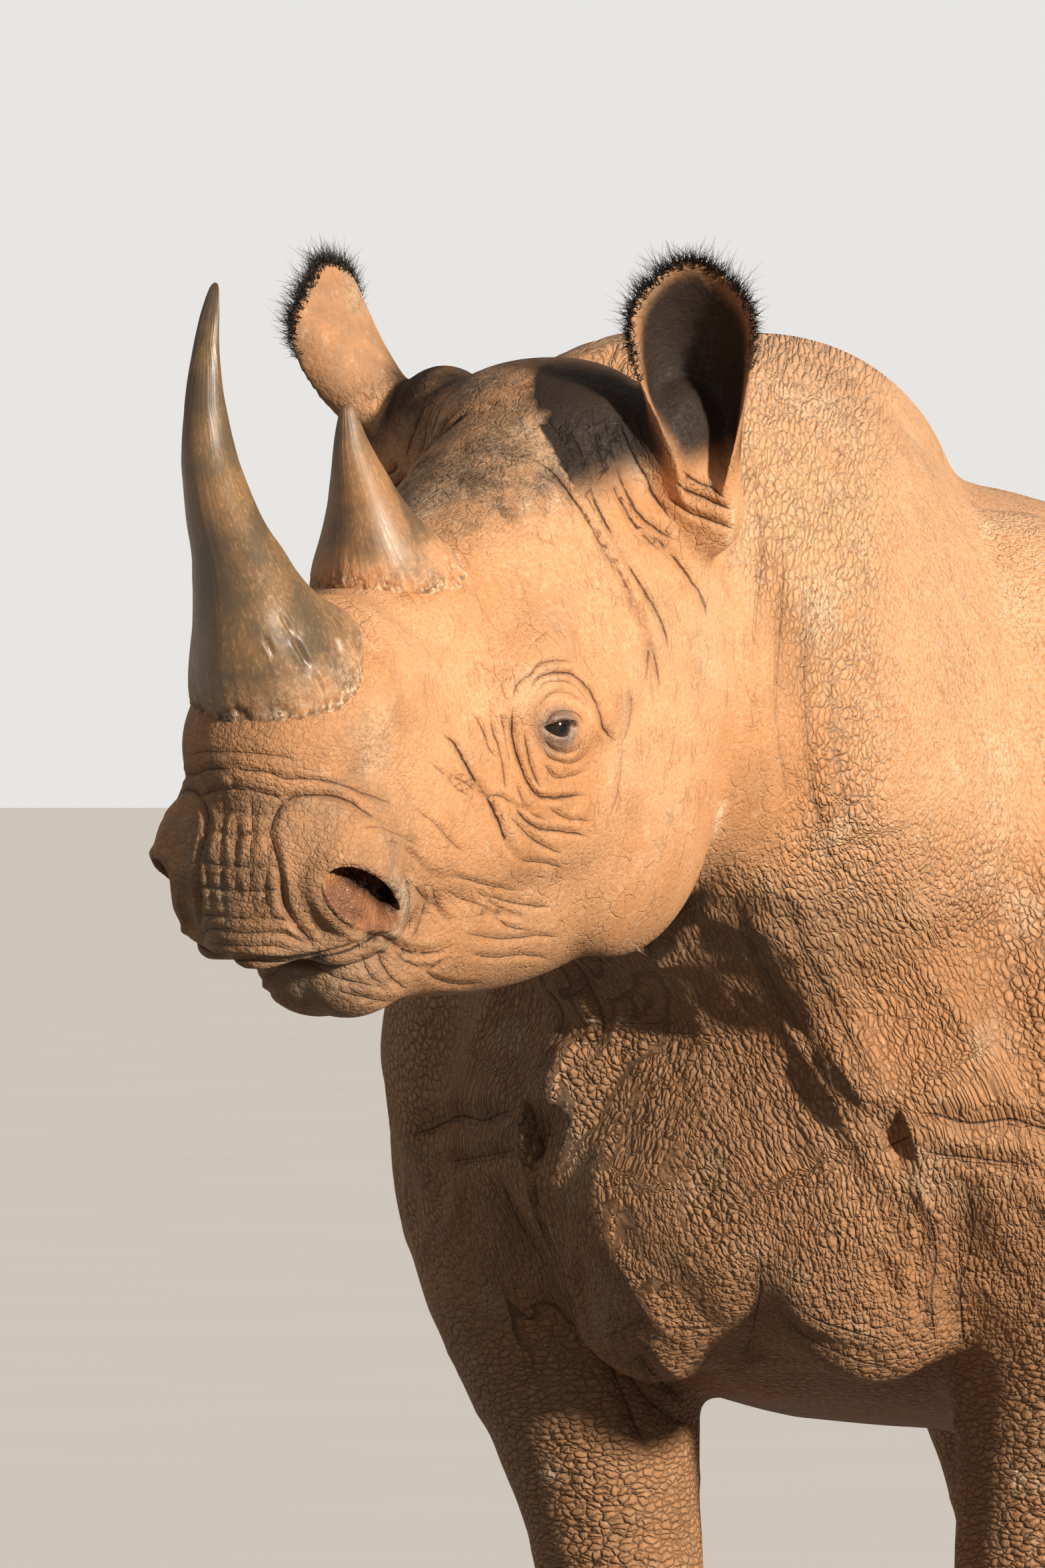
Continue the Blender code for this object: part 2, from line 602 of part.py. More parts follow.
def main():
    clear_scene()
    forms, tools = new_collection("forms"), new_collection("cutters")
    rhino = new_collection("rhinoceros")
    make_trunk(forms)
    make_neck(forms)
    make_head(forms)
    for side in SIDES:
        make_fore_leg(side, forms)
        make_hind_leg(side, forms)
    trunk = fuse(list(forms.objects), "trunk", rhino)
    keep_side(trunk, Vector((0, 0, 0)), Vector((0, 0, 1)))

    skull = head_frame()
    head = part_by_plane(trunk, skull @ HEAD_CUT[0], skull.to_3x3() @ HEAD_CUT[1], "head", rhino)
    part_by_plane(trunk, *NECK_CUT, "neck", rhino)
    for side in SIDES:
        for which in FEET:
            leg = part_by_block(trunk, lambda grow: leg_block(which, side, tools, grow),
                                f"{which}leg_{side}", rhino)
            for label, turn, size in NAILS:
                let_in(make_nail, (FEET[which][side], SIDES[side] * turn, size), leg,
                       f"nail_{which}_{side}_{label}", rhino, tools)
        let_in(make_ear, (side,), head, f"ear_{side}", rhino, tools)
        let_in(make_eye, (side,), head, f"eye_{side}", rhino, tools)
    let_in(make_horn, ("front",), head, "horn_front", rhino, tools)
    let_in(make_horn, ("rear",), head, "horn_rear", rhino, tools)
    let_in(make_tail, (), trunk, "tail", rhino, tools)

    tones = {"horn": principled("horn", HORN_TONE, 0.45), "eye": principled("eye", EYE_TONE, 0.15),
             "nail": principled("nail", NAIL_TONE, 0.6), "skin": principled("skin", SKIN_TONE, 0.85)}
    for obj in rhino.objects:
        obj.data.materials.clear()
        obj.data.materials.append(tones.get(obj.name.split("_")[0], tones["skin"]))
        obj.data.transform(Matrix.Translation(SHIFT))
    for group in (forms, tools):
        for obj in list(group.objects):
            bpy.data.objects.remove(obj)


if __name__ == "__main__":
    main()
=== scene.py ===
"""Black rhinoceros, a still life-size model: its skin, horns, eyes, nails and coat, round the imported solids.

Metres, +Z up. The animal faces -Y and its left side is +X. Head axes run x forward along the skull,
y to the animal's left and z up from the middle of the back of the skull.
"""

import json
import math

import bmesh
import bpy
import numpy as np
from mathutils import Matrix, Vector
from mathutils.bvhtree import BVHTree
from mathutils.kdtree import KDTree

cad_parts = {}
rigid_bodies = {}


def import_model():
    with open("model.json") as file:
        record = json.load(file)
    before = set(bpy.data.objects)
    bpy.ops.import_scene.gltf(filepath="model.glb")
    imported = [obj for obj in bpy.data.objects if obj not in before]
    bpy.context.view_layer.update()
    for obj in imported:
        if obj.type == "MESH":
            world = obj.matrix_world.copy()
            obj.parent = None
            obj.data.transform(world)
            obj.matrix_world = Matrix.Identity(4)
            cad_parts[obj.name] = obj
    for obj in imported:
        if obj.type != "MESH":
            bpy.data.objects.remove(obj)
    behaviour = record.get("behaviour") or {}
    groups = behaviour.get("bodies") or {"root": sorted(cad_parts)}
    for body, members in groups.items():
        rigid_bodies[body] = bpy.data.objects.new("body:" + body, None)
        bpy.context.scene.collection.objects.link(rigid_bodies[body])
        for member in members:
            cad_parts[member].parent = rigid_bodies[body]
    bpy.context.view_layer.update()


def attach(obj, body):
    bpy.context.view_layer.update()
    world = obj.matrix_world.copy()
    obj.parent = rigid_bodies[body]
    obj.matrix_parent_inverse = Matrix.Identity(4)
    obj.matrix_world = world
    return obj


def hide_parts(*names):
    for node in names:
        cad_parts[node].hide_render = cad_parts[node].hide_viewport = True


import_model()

# ---------------------------------------------------------------- driving dimensions
SHIFT = Vector((0.0, 0.372, 0.0))           # from the body's own axes to the part's origin
HEAD_AT = Vector((-0.009, -1.225, 1.290)) + SHIFT
HEAD_TURN = math.radians(9.5)               # to the animal's right
HEAD_PITCH = math.radians(19.5)             # nose down
HEAD_ROLL = math.radians(-2.4)
SIDES = {"left": 1, "right": -1}
FORE_FOOT_Y = {"left": -0.600, "right": -0.600}
HIND_FOOT_Y = {"left": 0.740, "right": 0.560}

VOXEL = 0.0105    # of the remesh that makes the flesh one skin
SMOOTH_VOXEL = 0.0095                       # the voxel that the next counts of smoothing passes are for
SKIN_PASSES, FLESH_PASSES, BACK_PASSES = 8, 90, 110
FINE_REACH, FINE_SCALE, FINE_FALL = 0.46, 3.0, 0.42     # the head is remeshed this much finer
SKIN_TRIANGLES = 194000
COAT_DEPTH = 0.0012

NOSE_AT = (0.575, 0.075, -0.06)             # head axes, beside the left nostril
EYE_RADIUS = 0.0165
EYE_AT = Vector((0.318, 0.121, -0.022))     # head axes, left eye
EYE_LOOK = Vector((0.42, 0.905, 0.02)).normalized()

SIGHT_TURN = math.radians(18.5)             # the direction that the animal is looked at from, off its front
SIGHT_FAR = 16.0                            # and how far from the head that eye point is
SIGHT_OFF = (0.0527, 0.1786)                # the head's place right of and above the middle of the view
VIEW_TALL = 1.27687                         # metres of the view's height at the head


# ---------------------------------------------------------------- small tools
def new_object(name, mesh):
    obj = bpy.data.objects.new(name, mesh)
    bpy.context.scene.collection.objects.link(obj)
    return obj


def object_from(bm, name):
    bm.normal_update()
    bmesh.ops.recalc_face_normals(bm, faces=bm.faces[:])
    mesh = bpy.data.meshes.new(name)
    bm.to_mesh(mesh)
    bm.free()
    return new_object(name, mesh)


def settle(obj):
    """Applies the object's modifiers to its mesh."""
    bpy.context.view_layer.update()
    graph = bpy.context.evaluated_depsgraph_get()
    mesh = bpy.data.meshes.new_from_object(obj.evaluated_get(graph), depsgraph=graph)
    obj.modifiers.clear()
    old, obj.data = obj.data, mesh
    bpy.data.meshes.remove(old)
    return obj


def soften(obj, levels):
    softener = obj.modifiers.new("soften", "SUBSURF")
    softener.levels = softener.render_levels = levels
    return settle(obj)


def points_of(mesh):
    co = np.empty(len(mesh.vertices) * 3)
    mesh.vertices.foreach_get("co", co)
    return co.reshape(-1, 3)


def normals_of(mesh):
    normal = np.empty(len(mesh.vertices) * 3)
    mesh.vertices.foreach_get("normal", normal)
    return normal.reshape(-1, 3)


def put_points(mesh, co):
    mesh.vertices.foreach_set("co", np.ascontiguousarray(co, dtype=np.float32).ravel())
    mesh.update()


def tag(mesh, name, vectors):
    """Stores a vector at each point as an attribute."""
    attribute = mesh.attributes.new(name, "FLOAT_VECTOR", "POINT")
    attribute.data.foreach_set("vector", vectors.astype(np.float32).ravel())


def note(mesh, name, *channels):
    """Stores up to four values at each point as a colour attribute."""
    values = np.ones((len(mesh.vertices), 4), np.float32)
    for k, channel in enumerate(channels):
        values[:, k] = np.clip(channel, 0, 1)
    attribute = mesh.attributes.new(name, "FLOAT_COLOR", "POINT")
    attribute.data.foreach_set("color", values.ravel())


def cut(bm, height, way=1, **settings):
    """Cuts the mesh level at a height; way is -1 where what lies under the cut is the outer part."""
    bmesh.ops.bisect_plane(bm, geom=bm.verts[:] + bm.edges[:] + bm.faces[:], plane_co=(0, 0, height),
                           plane_no=(0, 0, way), **settings)


def close_ends(bm):
    bmesh.ops.holes_fill(bm, edges=[e for e in bm.edges if e.is_boundary], sides=0)


def smoothstep(value, low, high):
    t = np.clip((value - low) / (high - low), 0, 1)
    return t * t * (3 - 2 * t)


def lattice_value(cell, seed):
    """A repeatable value from 0 to 1 for each whole-numbered cell."""
    cell = cell.astype(np.int64)
    x, y, z = cell[..., 0], cell[..., 1], cell[..., 2]
    mixed = x * 374761393 + y * 668265263 + z * 2147483647 + seed * 1274126177
    mixed = (mixed ^ (mixed >> 13)) * 1103515245 & 0x7FFFFFFF
    mixed = (mixed ^ (mixed >> 11)) * 12345679 & 0x7FFFFFFF
    return mixed / 0x7FFFFFFF


def soft_noise(co, size, seed=0):
    """Smooth noise from -1 to 1 whose lumps are about size metres, or size per axis."""
    place = co / np.asarray(size)
    base = np.floor(place)
    part = place - base
    part = part * part * (3 - 2 * part)
    total = np.zeros(len(co))
    for x in (0, 1):
        for y in (0, 1):
            for z in (0, 1):
                share = np.prod(np.where((x, y, z), part, 1 - part), axis=1)
                total += share * lattice_value(base + (x, y, z), seed)
    return 2 * total - 1


def cell_noise(co, size, seed=0):
    """The distance to the nearest scattered seed, about 0 at a cell's middle and 1 at its border."""
    place = co / np.asarray(size)
    base = np.floor(place)
    first = np.full(len(co), 9.0)
    second = np.full(len(co), 9.0)
    for x in (-1, 0, 1):
        for y in (-1, 0, 1):
            for z in (-1, 0, 1):
                cell = base + (x, y, z)
                seeds = np.stack([lattice_value(cell, seed + k) for k in (1, 2, 3)], axis=1)
                away = np.linalg.norm(cell + 0.1 + 0.8 * seeds - place, axis=1)
                second = np.minimum(second, np.maximum(first, away))
                first = np.minimum(first, away)
    return np.clip(first / np.maximum(second, 1e-6), 0, 1)


def bell(gap, reach):
    """1 where the gap is 0, falling off on both sides over the reach."""
    return np.exp(-(gap / reach) ** 2)


def bell_round(co, place, reach):
    """1 at the place, falling off all round it over the reach."""
    return np.exp(-((co - place) ** 2).sum(1) / reach ** 2)


def power(value, exponent):
    return math.copysign(abs(value) ** exponent, value)


def add_ring(bm, middle, across, up, size, sides, square=2.3, taper=0.0):
    """A closed egg-shaped ring of edges. size is (half width, rise, drop); taper narrows its top."""
    half_width, rise, drop = size
    verts = []
    for k in range(sides):
        turn = 2 * math.pi * k / sides
        side, height = power(math.cos(turn), 2 / square), power(math.sin(turn), 2 / square)
        reach = half_width * side * (1 - taper * height)
        verts.append(bm.verts.new(middle + across * reach + up * height * (rise if height > 0 else drop)))
    return [bm.edges.new((a, b)) for a, b in zip(verts, verts[1:] + verts[:1])]


def bridge(bm, rings):
    for low, high in zip(rings, rings[1:]):
        bmesh.ops.bridge_loops(bm, edges=low + high)
    bmesh.ops.holes_fill(bm, edges=rings[0] + rings[-1], sides=0)


def head_frame():
    """Head axes to the part's frame."""
    to_body = Matrix(((0, 1, 0, 0), (-1, 0, 0, 0), (0, 0, 1, 0), (0, 0, 0, 1)))
    turned = (Matrix.Rotation(-HEAD_TURN, 4, "Z") @ to_body @ Matrix.Rotation(HEAD_PITCH, 4, "Y")
              @ Matrix.Rotation(HEAD_ROLL, 4, "X"))
    return Matrix.Translation(HEAD_AT) @ turned


HEAD = head_frame()
HEAD_TURNED = np.array(HEAD.to_3x3())


def in_head(co):
    """Points of the part's frame in head axes."""
    return (co - np.array(HEAD_AT)) @ HEAD_TURNED


def left_half(co):
    """Points of the part's frame in head axes, those of the right half brought to the left."""
    local = in_head(co)
    local[:, 1] = np.abs(local[:, 1])
    return local


def eye_gap(co):
    """How far points are from the nearer eye's middle."""
    return np.linalg.norm(left_half(co) - np.array(EYE_AT), axis=1)


# ---------------------------------------------------------------- the forms of the flesh
def lofted(name, rings_of, sides, square, taper=0.0):
    """A closed loft. rings_of holds (middle, across, up, size) or the same with its own taper."""
    bm = bmesh.new()
    rings = [add_ring(bm, Vector(ring[0]), Vector(ring[1]), Vector(ring[2]), ring[3], sides, square,
                      ring[4] if len(ring) > 4 else taper) for ring in rings_of]
    bridge(bm, rings)
    return soften(object_from(bm, name), 2)


def body_form(name, stations, square, taper):
    """A station is (y, middle x, half width, lowest z, highest z)."""
    rings = []
    for y, x, half_width, low, high in stations:
        middle = low + 0.46 * (high - low)
        rings.append(((x, y, middle), (1, 0, 0), (0, 0, 1), (half_width, high - middle, middle - low)))
    form = lofted(name, rings, 16, square, taper)
    form.data.transform(Matrix.Translation(SHIFT))


def leg_form(name, stations):
    """A station is (z, x, y, half width, half depth)."""
    form = lofted(name, [((x, y, z), (1, 0, 0), (0, 1, 0), (half_width, half_depth, half_depth))
                         for z, x, y, half_width, half_depth in stations], 12, 2.25)
    form.data.transform(Matrix.Translation(SHIFT))


def mass(name, middle, radii, turn=(0, 0, 0), place=None, sides=32):
    """A rounded muscle or pad: an ellipsoid, turned by degrees about its own X, Y and Z."""
    bm = bmesh.new()
    bmesh.ops.create_uvsphere(bm, u_segments=sides, v_segments=sides // 2, radius=1)
    turned = Matrix.Identity(4)
    for angle, axis in zip(turn, "XYZ"):
        turned = Matrix.Rotation(math.radians(angle), 4, axis) @ turned
    place = Matrix.Translation(SHIFT) if place is None else place
    bm.transform(place @ Matrix.Translation(middle) @ turned @ Matrix.Diagonal((*radii, 1)))
    return object_from(bm, name)


def form_trunk():
    body_form("trunk_form", [
        (-0.95, 0, 0.15, 0.80, 1.12),
        (-0.88, 0, 0.25, 0.68, 1.26),
        (-0.72, 0, 0.325, 0.590, 1.380),
        (-0.52, 0, 0.355, 0.566, 1.396),
        (-0.28, 0, 0.395, 0.550, 1.380),
        (0.00, 0, 0.430, 0.530, 1.362),
        (0.28, 0, 0.445, 0.515, 1.370),
        (0.55, 0, 0.415, 0.545, 1.405),
        (0.78, 0, 0.350, 0.650, 1.415),
        (0.96, 0, 0.270, 0.840, 1.350),
        (1.06, 0, 0.150, 0.98, 1.220),
    ], 2.25, 0.22)
    for side, s in SIDES.items():
        mass(f"shoulder_{side}", (s * 0.205, -0.62, 1.00), (0.155, 0.235, 0.350), (10, -s * 6, 0))
        mass(f"shoulder_point_{side}", (s * 0.220, -0.735, 0.890), (0.128, 0.135, 0.200))
        mass(f"haunch_{side}", (s * 0.185, 0.80, 1.02), (0.165, 0.255, 0.320), (-10, s * 4, 0))
        mass(f"hip_{side}", (s * 0.190, 0.60, 1.235), (0.115, 0.17, 0.115))
        mass(f"breast_{side}", (s * 0.095, -0.800, 0.790), (0.115, 0.120, 0.185), (12, 0, 0))
    mass("withers", (0, -0.83, 1.318), (0.130, 0.440, 0.172), (3, 0, 0))
    mass("croup", (0, 0.68, 1.285), (0.150, 0.330, 0.160), (-3, 0, 0))


def form_neck():
    body_form("neck_form", [
        (-0.55, 0.000, 0.250, 0.78, 1.420),
        (-0.74, 0.000, 0.265, 0.80, 1.470),
        (-0.90, -0.002, 0.245, 0.870, 1.500),
        (-1.04, -0.006, 0.212, 0.950, 1.497),
        (-1.17, -0.012, 0.180, 1.015, 1.480),
        (-1.29, -0.024, 0.150, 1.055, 1.445),
    ], 2.1, 0.24)


def form_head():
    skull = [  # x, half width, lowest z, highest z, narrowing of the top
        (-0.060, 0.085, -0.120, 0.110, 0.10),
        (-0.020, 0.125, -0.175, 0.165, 0.12),
        (0.050, 0.145, -0.225, 0.184, 0.14),
        (0.140, 0.143, -0.235, 0.168, 0.18),
        (0.230, 0.138, -0.220, 0.140, 0.20),
        (0.320, 0.128, -0.190, 0.115, 0.22),
        (0.410, 0.105, -0.160, 0.098, 0.16),
        (0.500, 0.092, -0.138, 0.088, 0.10),
        (0.575, 0.088, -0.118, 0.068, 0.04),
        (0.620, 0.072, -0.102, 0.020, 0.00),
        (0.645, 0.040, -0.088, -0.030, 0.00),
    ]
    jaw = [  # x, half width, lowest z, highest z
        (0.010, 0.080, -0.235, -0.030),
        (0.060, 0.112, -0.272, 0.020),
        (0.130, 0.126, -0.290, 0.030),
        (0.220, 0.122, -0.288, 0.030),
        (0.310, 0.108, -0.268, 0.010),
        (0.390, 0.088, -0.238, -0.030),
        (0.450, 0.070, -0.218, -0.060),
        (0.500, 0.056, -0.204, -0.095),
        (0.532, 0.042, -0.184, -0.110),
        (0.550, 0.022, -0.160, -0.122),
    ]
    rings = []
    for x, half_width, low, high, narrow in skull:
        middle = low + 0.45 * (high - low)
        size = (half_width, high - middle, middle - low)
        rings.append(((x, 0, middle), (0, 1, 0), (0, 0, 1), size, narrow))
    lofted("skull_form", rings, 16, 2.35).data.transform(HEAD)
    rings = []
    for x, half_width, low, high in jaw:
        half = (high - low) / 2
        rings.append(((x, 0, low + half), (0, 1, 0), (0, 0, 1), (half_width, half, half)))
    lofted("jaw_form", rings, 12, 2.3).data.transform(HEAD)
    for side, s in SIDES.items():
        mass(f"cheek_{side}", (0.150, s * 0.082, -0.140), (0.140, 0.060, 0.135), (0, 14, 0), HEAD)
        mass(f"brow_{side}", (0.300, s * 0.084, 0.018), (0.090, 0.046, 0.040), (0, 12, 0), HEAD)
        mass(f"cheekbone_{side}", (0.240, s * 0.100, -0.030), (0.110, 0.045, 0.040), (0, 8, 0), HEAD)
        mass(f"nostril_wing_{side}", (0.570, s * 0.068, -0.050), (0.060, 0.036, 0.055), (0, 20, 0), HEAD)
        mass(f"ear_root_{side}", (0.020, s * 0.105, 0.120), (0.055, 0.045, 0.055), (0, 0, 0), HEAD)
        mass(f"lip_side_{side}", (0.540, s * 0.050, -0.104), (0.080, 0.036, 0.030), (0, 4, 0), HEAD)
    mass("upper_lip", (0.610, 0, -0.088), (0.044, 0.052, 0.036), (0, 30, 0), HEAD)
    mass("front_boss", (0.540, 0, 0.042), (0.088, 0.080, 0.066), (0, 12, 0), HEAD)
    mass("rear_boss", (0.345, 0, 0.070), (0.100, 0.080, 0.052), (0, 10, 0), HEAD)
    mass("crown", (0.045, 0, 0.134), (0.085, 0.100, 0.056), (0, -4, 0), HEAD)


def form_fore_leg(side):
    s, y = SIDES[side], FORE_FOOT_Y[side]
    leg_form(f"fore_leg_form_{side}", [
        (-0.040, s * 0.184, y - 0.030, 0.098, 0.116),
        (0.025, s * 0.184, y - 0.030, 0.108, 0.126),
        (0.085, s * 0.183, y - 0.022, 0.098, 0.110),
        (0.150, s * 0.181, y - 0.006, 0.078, 0.086),
        (0.250, s * 0.179, y + 0.006, 0.068, 0.074),
        (0.360, s * 0.180, y + 0.000, 0.077, 0.086),
        (0.450, s * 0.184, y + 0.000, 0.072, 0.082),
        (0.540, s * 0.202, y - 0.005, 0.084, 0.104),
        (0.640, s * 0.226, y - 0.020, 0.112, 0.145),
        (0.760, s * 0.240, y - 0.035, 0.132, 0.175),
        (0.900, s * 0.240, y - 0.045, 0.135, 0.180),
    ])
    mass(f"elbow_{side}", (s * 0.215, y + 0.100, 0.735), (0.070, 0.070, 0.090))


def form_hind_leg(side):
    s, y = SIDES[side], HIND_FOOT_Y[side]
    leg_form(f"hind_leg_form_{side}", [
        (-0.040, s * 0.188, y - 0.035, 0.096, 0.114),
        (0.025, s * 0.188, y - 0.035, 0.106, 0.124),
        (0.085, s * 0.186, y - 0.025, 0.098, 0.110),
        (0.150, s * 0.183, y + 0.000, 0.077, 0.086),
        (0.250, s * 0.180, y + 0.028, 0.070, 0.080),
        (0.350, s * 0.180, y + 0.052, 0.076, 0.098),
        (0.430, s * 0.182, y + 0.056, 0.080, 0.108),
        (0.540, s * 0.190, y + 0.020, 0.088, 0.112),
        (0.660, s * 0.205, y - 0.030, 0.112, 0.155),
        (0.800, s * 0.210, 0.5 * y + 0.315, 0.140, 0.210),
        (0.950, s * 0.195, 0.3 * y + 0.475, 0.150, 0.250),
    ])


def form_tail():
    stations = [  # y, z, half width, half depth, tilt of the ring
        (0.960, 1.270, 0.045, 0.045, 75),
        (1.050, 1.235, 0.042, 0.040, 55),
        (1.100, 1.160, 0.034, 0.032, 25),
        (1.125, 1.050, 0.027, 0.025, 8),
        (1.135, 0.920, 0.021, 0.020, 2),
        (1.137, 0.800, 0.018, 0.017, 0),
        (1.136, 0.720, 0.016, 0.014, 0),
        (1.134, 0.660, 0.015, 0.011, 0),
        (1.132, 0.600, 0.012, 0.009, 0),
    ]
    rings = []
    for y, z, half_width, half_depth, tilt in stations:
        lean = math.radians(tilt)
        rings.append(((0, y, z), (1, 0, 0), (0, math.cos(lean), math.sin(lean)),
                      (half_width, half_depth, half_depth)))
    lofted("tail_form", rings, 12, 2.0).data.transform(Matrix.Translation(SHIFT))


# ---------------------------------------------------------------- ears
EAR_THICKNESS = 0.0062
EAR_AT = {"left": (0.030, 0.130, 0.098), "right": (0.020, -0.134, 0.112)}
EAR_FACING = {"left": 28, "right": 95}              # degrees outward from straight ahead
EAR_SCALE = {"left": (1.08, 1.0), "right": (1.0, 0.72)}     # of its height and of the depth of its cup
EAR_LEAN = {"left": (4, 4), "right": (34, 8)}       # degrees outward, low and high on the ear
EAR_ROWS = [  # height along the spine, arc radius, front half arc, rear half arc, lean forward
    (-0.030, 0.034, 0.098, 0.098, 0.000),
    (0.000, 0.035, 0.096, 0.100, 0.000),
    (0.028, 0.037, 0.088, 0.098, 0.001),
    (0.052, 0.040, 0.082, 0.092, 0.002),
    (0.074, 0.044, 0.080, 0.078, 0.003),
    (0.094, 0.049, 0.078, 0.078, 0.004),
    (0.114, 0.055, 0.071, 0.073, 0.008),
    (0.132, 0.062, 0.057, 0.061, 0.013),
    (0.147, 0.070, 0.038, 0.042, 0.018),
    (0.158, 0.078, 0.020, 0.022, 0.022),
    (0.165, 0.085, 0.008, 0.008, 0.024),
]
EAR_ACROSS, EAR_BACK = 8, 0.026              # faces across the sheet, and its spine behind the ear's own axis


def ear_sheet(side):
    """The curled leaf of an ear as an open sheet in ear axes: x forward, y outward, z up."""
    facing = Matrix.Rotation(math.radians(EAR_FACING[side]), 4, "Z")
    low_lean, high_lean = EAR_LEAN[side]
    longer, deeper = EAR_SCALE[side]
    bm = bmesh.new()
    rows, spine, reached = [], Vector((0, 0, 0)), 0.0
    for height, radius, front, rear, fore in EAR_ROWS:
        lean = math.radians(low_lean + (high_lean - low_lean) * min(1.0, max(0.0, (height - 0.07) / 0.06)))
        height *= longer
        spine = spine + Vector((0, math.sin(lean), math.cos(lean))) * (height - reached)
        reached = height
        tilt = Matrix.Translation(spine) @ Matrix.Rotation(-lean, 4, "X") @ facing
        verts = []
        for k in range(EAR_ACROSS + 1):
            share = 2 * k / EAR_ACROSS - 1
            turn = share * (front if share > 0 else rear) / radius
            cup = deeper * (radius * (1 - math.cos(turn)) - EAR_BACK)
            verts.append(bm.verts.new(tilt @ Vector((cup + fore, radius * math.sin(turn), 0))))
        rows.append([bm.edges.new((a, b)) for a, b in zip(verts, verts[1:])])
    for low, high in zip(rows, rows[1:]):
        bmesh.ops.bridge_loops(bm, edges=low + high)
    return bm


def ear_place(side):
    return HEAD @ Matrix.Translation(EAR_AT[side]) @ Matrix.Diagonal((1, SIDES[side], 1, 1))


def form_ear(side):
    """The thick ear for the remesh. Its open sheet is kept apart, for the coat's roots."""
    bm = ear_sheet(side)
    bm.transform(ear_place(side))
    sheet = soften(object_from(bm, f"ear_sheet_{side}"), 2)
    ear = new_object(f"ear_form_{side}", sheet.data.copy())
    shell = ear.modifiers.new("thickness", "SOLIDIFY")
    shell.thickness, shell.offset = EAR_THICKNESS, 0.0
    shell.use_even_offset = False
    settle(ear)
    lean = (-EAR_LEAN[side][0], 0, 0)
    mass(f"ear_plug_{side}", (0, 0, -0.034), (0.036, 0.036, 0.044), lean, ear_place(side))
    return sheet


# ---------------------------------------------------------------- one skin from the forms
def stretch(co, middle, back=False):
    """Moves points away from the head's middle so that an even remesh grid is finest there, or back."""
    reach = np.linspace(0, 4, 2001)
    scale = 1 + (FINE_SCALE - 1) * np.exp(-np.clip((reach - FINE_REACH) / FINE_FALL, 0, None) ** 2)
    grown = np.concatenate([[0], np.cumsum((scale[1:] + scale[:-1]) / 2 * np.diff(reach))])
    away = co - middle
    far = np.linalg.norm(away, axis=1)
    new = np.interp(far, grown, reach) if back else np.interp(far, reach, grown)
    return middle + away * (new / np.maximum(far, 1e-9))[:, None]


def smooth(obj, passes, weights=None):
    if weights is not None:
        group = obj.vertex_groups.new(name="weight")
        for level in range(1, 11):
            chosen = np.nonzero((weights * 10).round().astype(int) == level)[0]
            if len(chosen):
                group.add(chosen.tolist(), level / 10, "REPLACE")
    step = obj.modifiers.new("smooth", "SMOOTH")
    step.iterations, step.factor = passes, 0.5
    if weights is not None:
        step.vertex_group = "weight"
    settle(obj)
    obj.vertex_groups.clear()


def ear_share(co, low=0.035, high=0.075):
    """1 on the ears and 0 off them, turning from low to high metres up the ear."""
    local = in_head(co)
    share = np.zeros(len(co))
    for side, s in SIDES.items():
        at = np.array(EAR_AT[side])
        lean = math.radians(EAR_LEAN[side][0])
        up = np.array((0, s * math.sin(lean), math.cos(lean)))
        along = (local - at) @ up
        off = np.linalg.norm(local - at - along[:, None] * up, axis=1)
        share = np.maximum(share, smoothstep(along, low, high) * (off < 0.13))
    return share


def make_flesh():
    before = set(bpy.data.objects)
    form_trunk()
    form_neck()
    form_head()
    for side in SIDES:
        form_fore_leg(side)
        form_hind_leg(side)
    form_tail()
    sheets = {side: form_ear(side) for side in SIDES}
    forms = [o for o in bpy.data.objects if o not in before and o not in sheets.values()]
    bm = bmesh.new()
    for form in forms:
        bm.from_mesh(form.data)
    skin = object_from(bm, "skin")
    for form in forms:
        bpy.data.objects.remove(form)
    middle = np.array(HEAD @ Vector((0.25, 0, 0.02)))
    put_points(skin.data, stretch(points_of(skin.data), middle))
    remesh = skin.modifiers.new("fuse", "REMESH")
    remesh.mode, remesh.voxel_size = "VOXEL", VOXEL
    settle(skin)
    put_points(skin.data, stretch(points_of(skin.data), middle, back=True))
    fine = (SMOOTH_VOXEL / VOXEL) ** 2
    smooth(skin, int(SKIN_PASSES * fine) + 2)
    co = points_of(skin.data)
    smooth(skin, int(FLESH_PASSES * fine), 1 - ear_share(co))
    behind = smoothstep(co[:, 1] - SHIFT.y, -1.10, -0.90)
    above = smoothstep(co[:, 2], 0.60, 0.80)
    smooth(skin, int(BACK_PASSES * fine), behind * above * (1 - ear_share(co)))
    return skin, sheets


def level_soles(skin):
    bm = bmesh.new()
    bm.from_mesh(skin.data)
    cut(bm, 0, dist=1e-6, clear_inner=True)
    close_ends(bm)
    bmesh.ops.triangulate(bm, faces=[f for f in bm.faces if len(f.verts) > 4])
    bm.to_mesh(skin.data)
    bm.free()


# ---------------------------------------------------------------- modelling the skin
SIGHT_BACK = np.array((math.sin(SIGHT_TURN), -math.cos(SIGHT_TURN), 0.0))
SIGHT_RIGHT = np.array((math.cos(SIGHT_TURN), math.sin(SIGHT_TURN), 0.0))
EYE_POINT = (np.array(HEAD_AT) + SIGHT_BACK * SIGHT_FAR - SIGHT_RIGHT * SIGHT_OFF[0]
             - np.array((0, 0, SIGHT_OFF[1])))
MM = 0.001


def seen(co):
    """Where points show from the eye point: millimetres right of and above the back of the skull."""
    away = co - EYE_POINT
    head_away = np.array(HEAD_AT) - EYE_POINT
    scale = SIGHT_FAR / -(away @ SIGHT_BACK)
    across = (away @ SIGHT_RIGHT) * scale - head_away @ SIGHT_RIGHT
    up = away[:, 2] * scale - head_away[2]
    return np.stack([across, up], axis=1) / MM


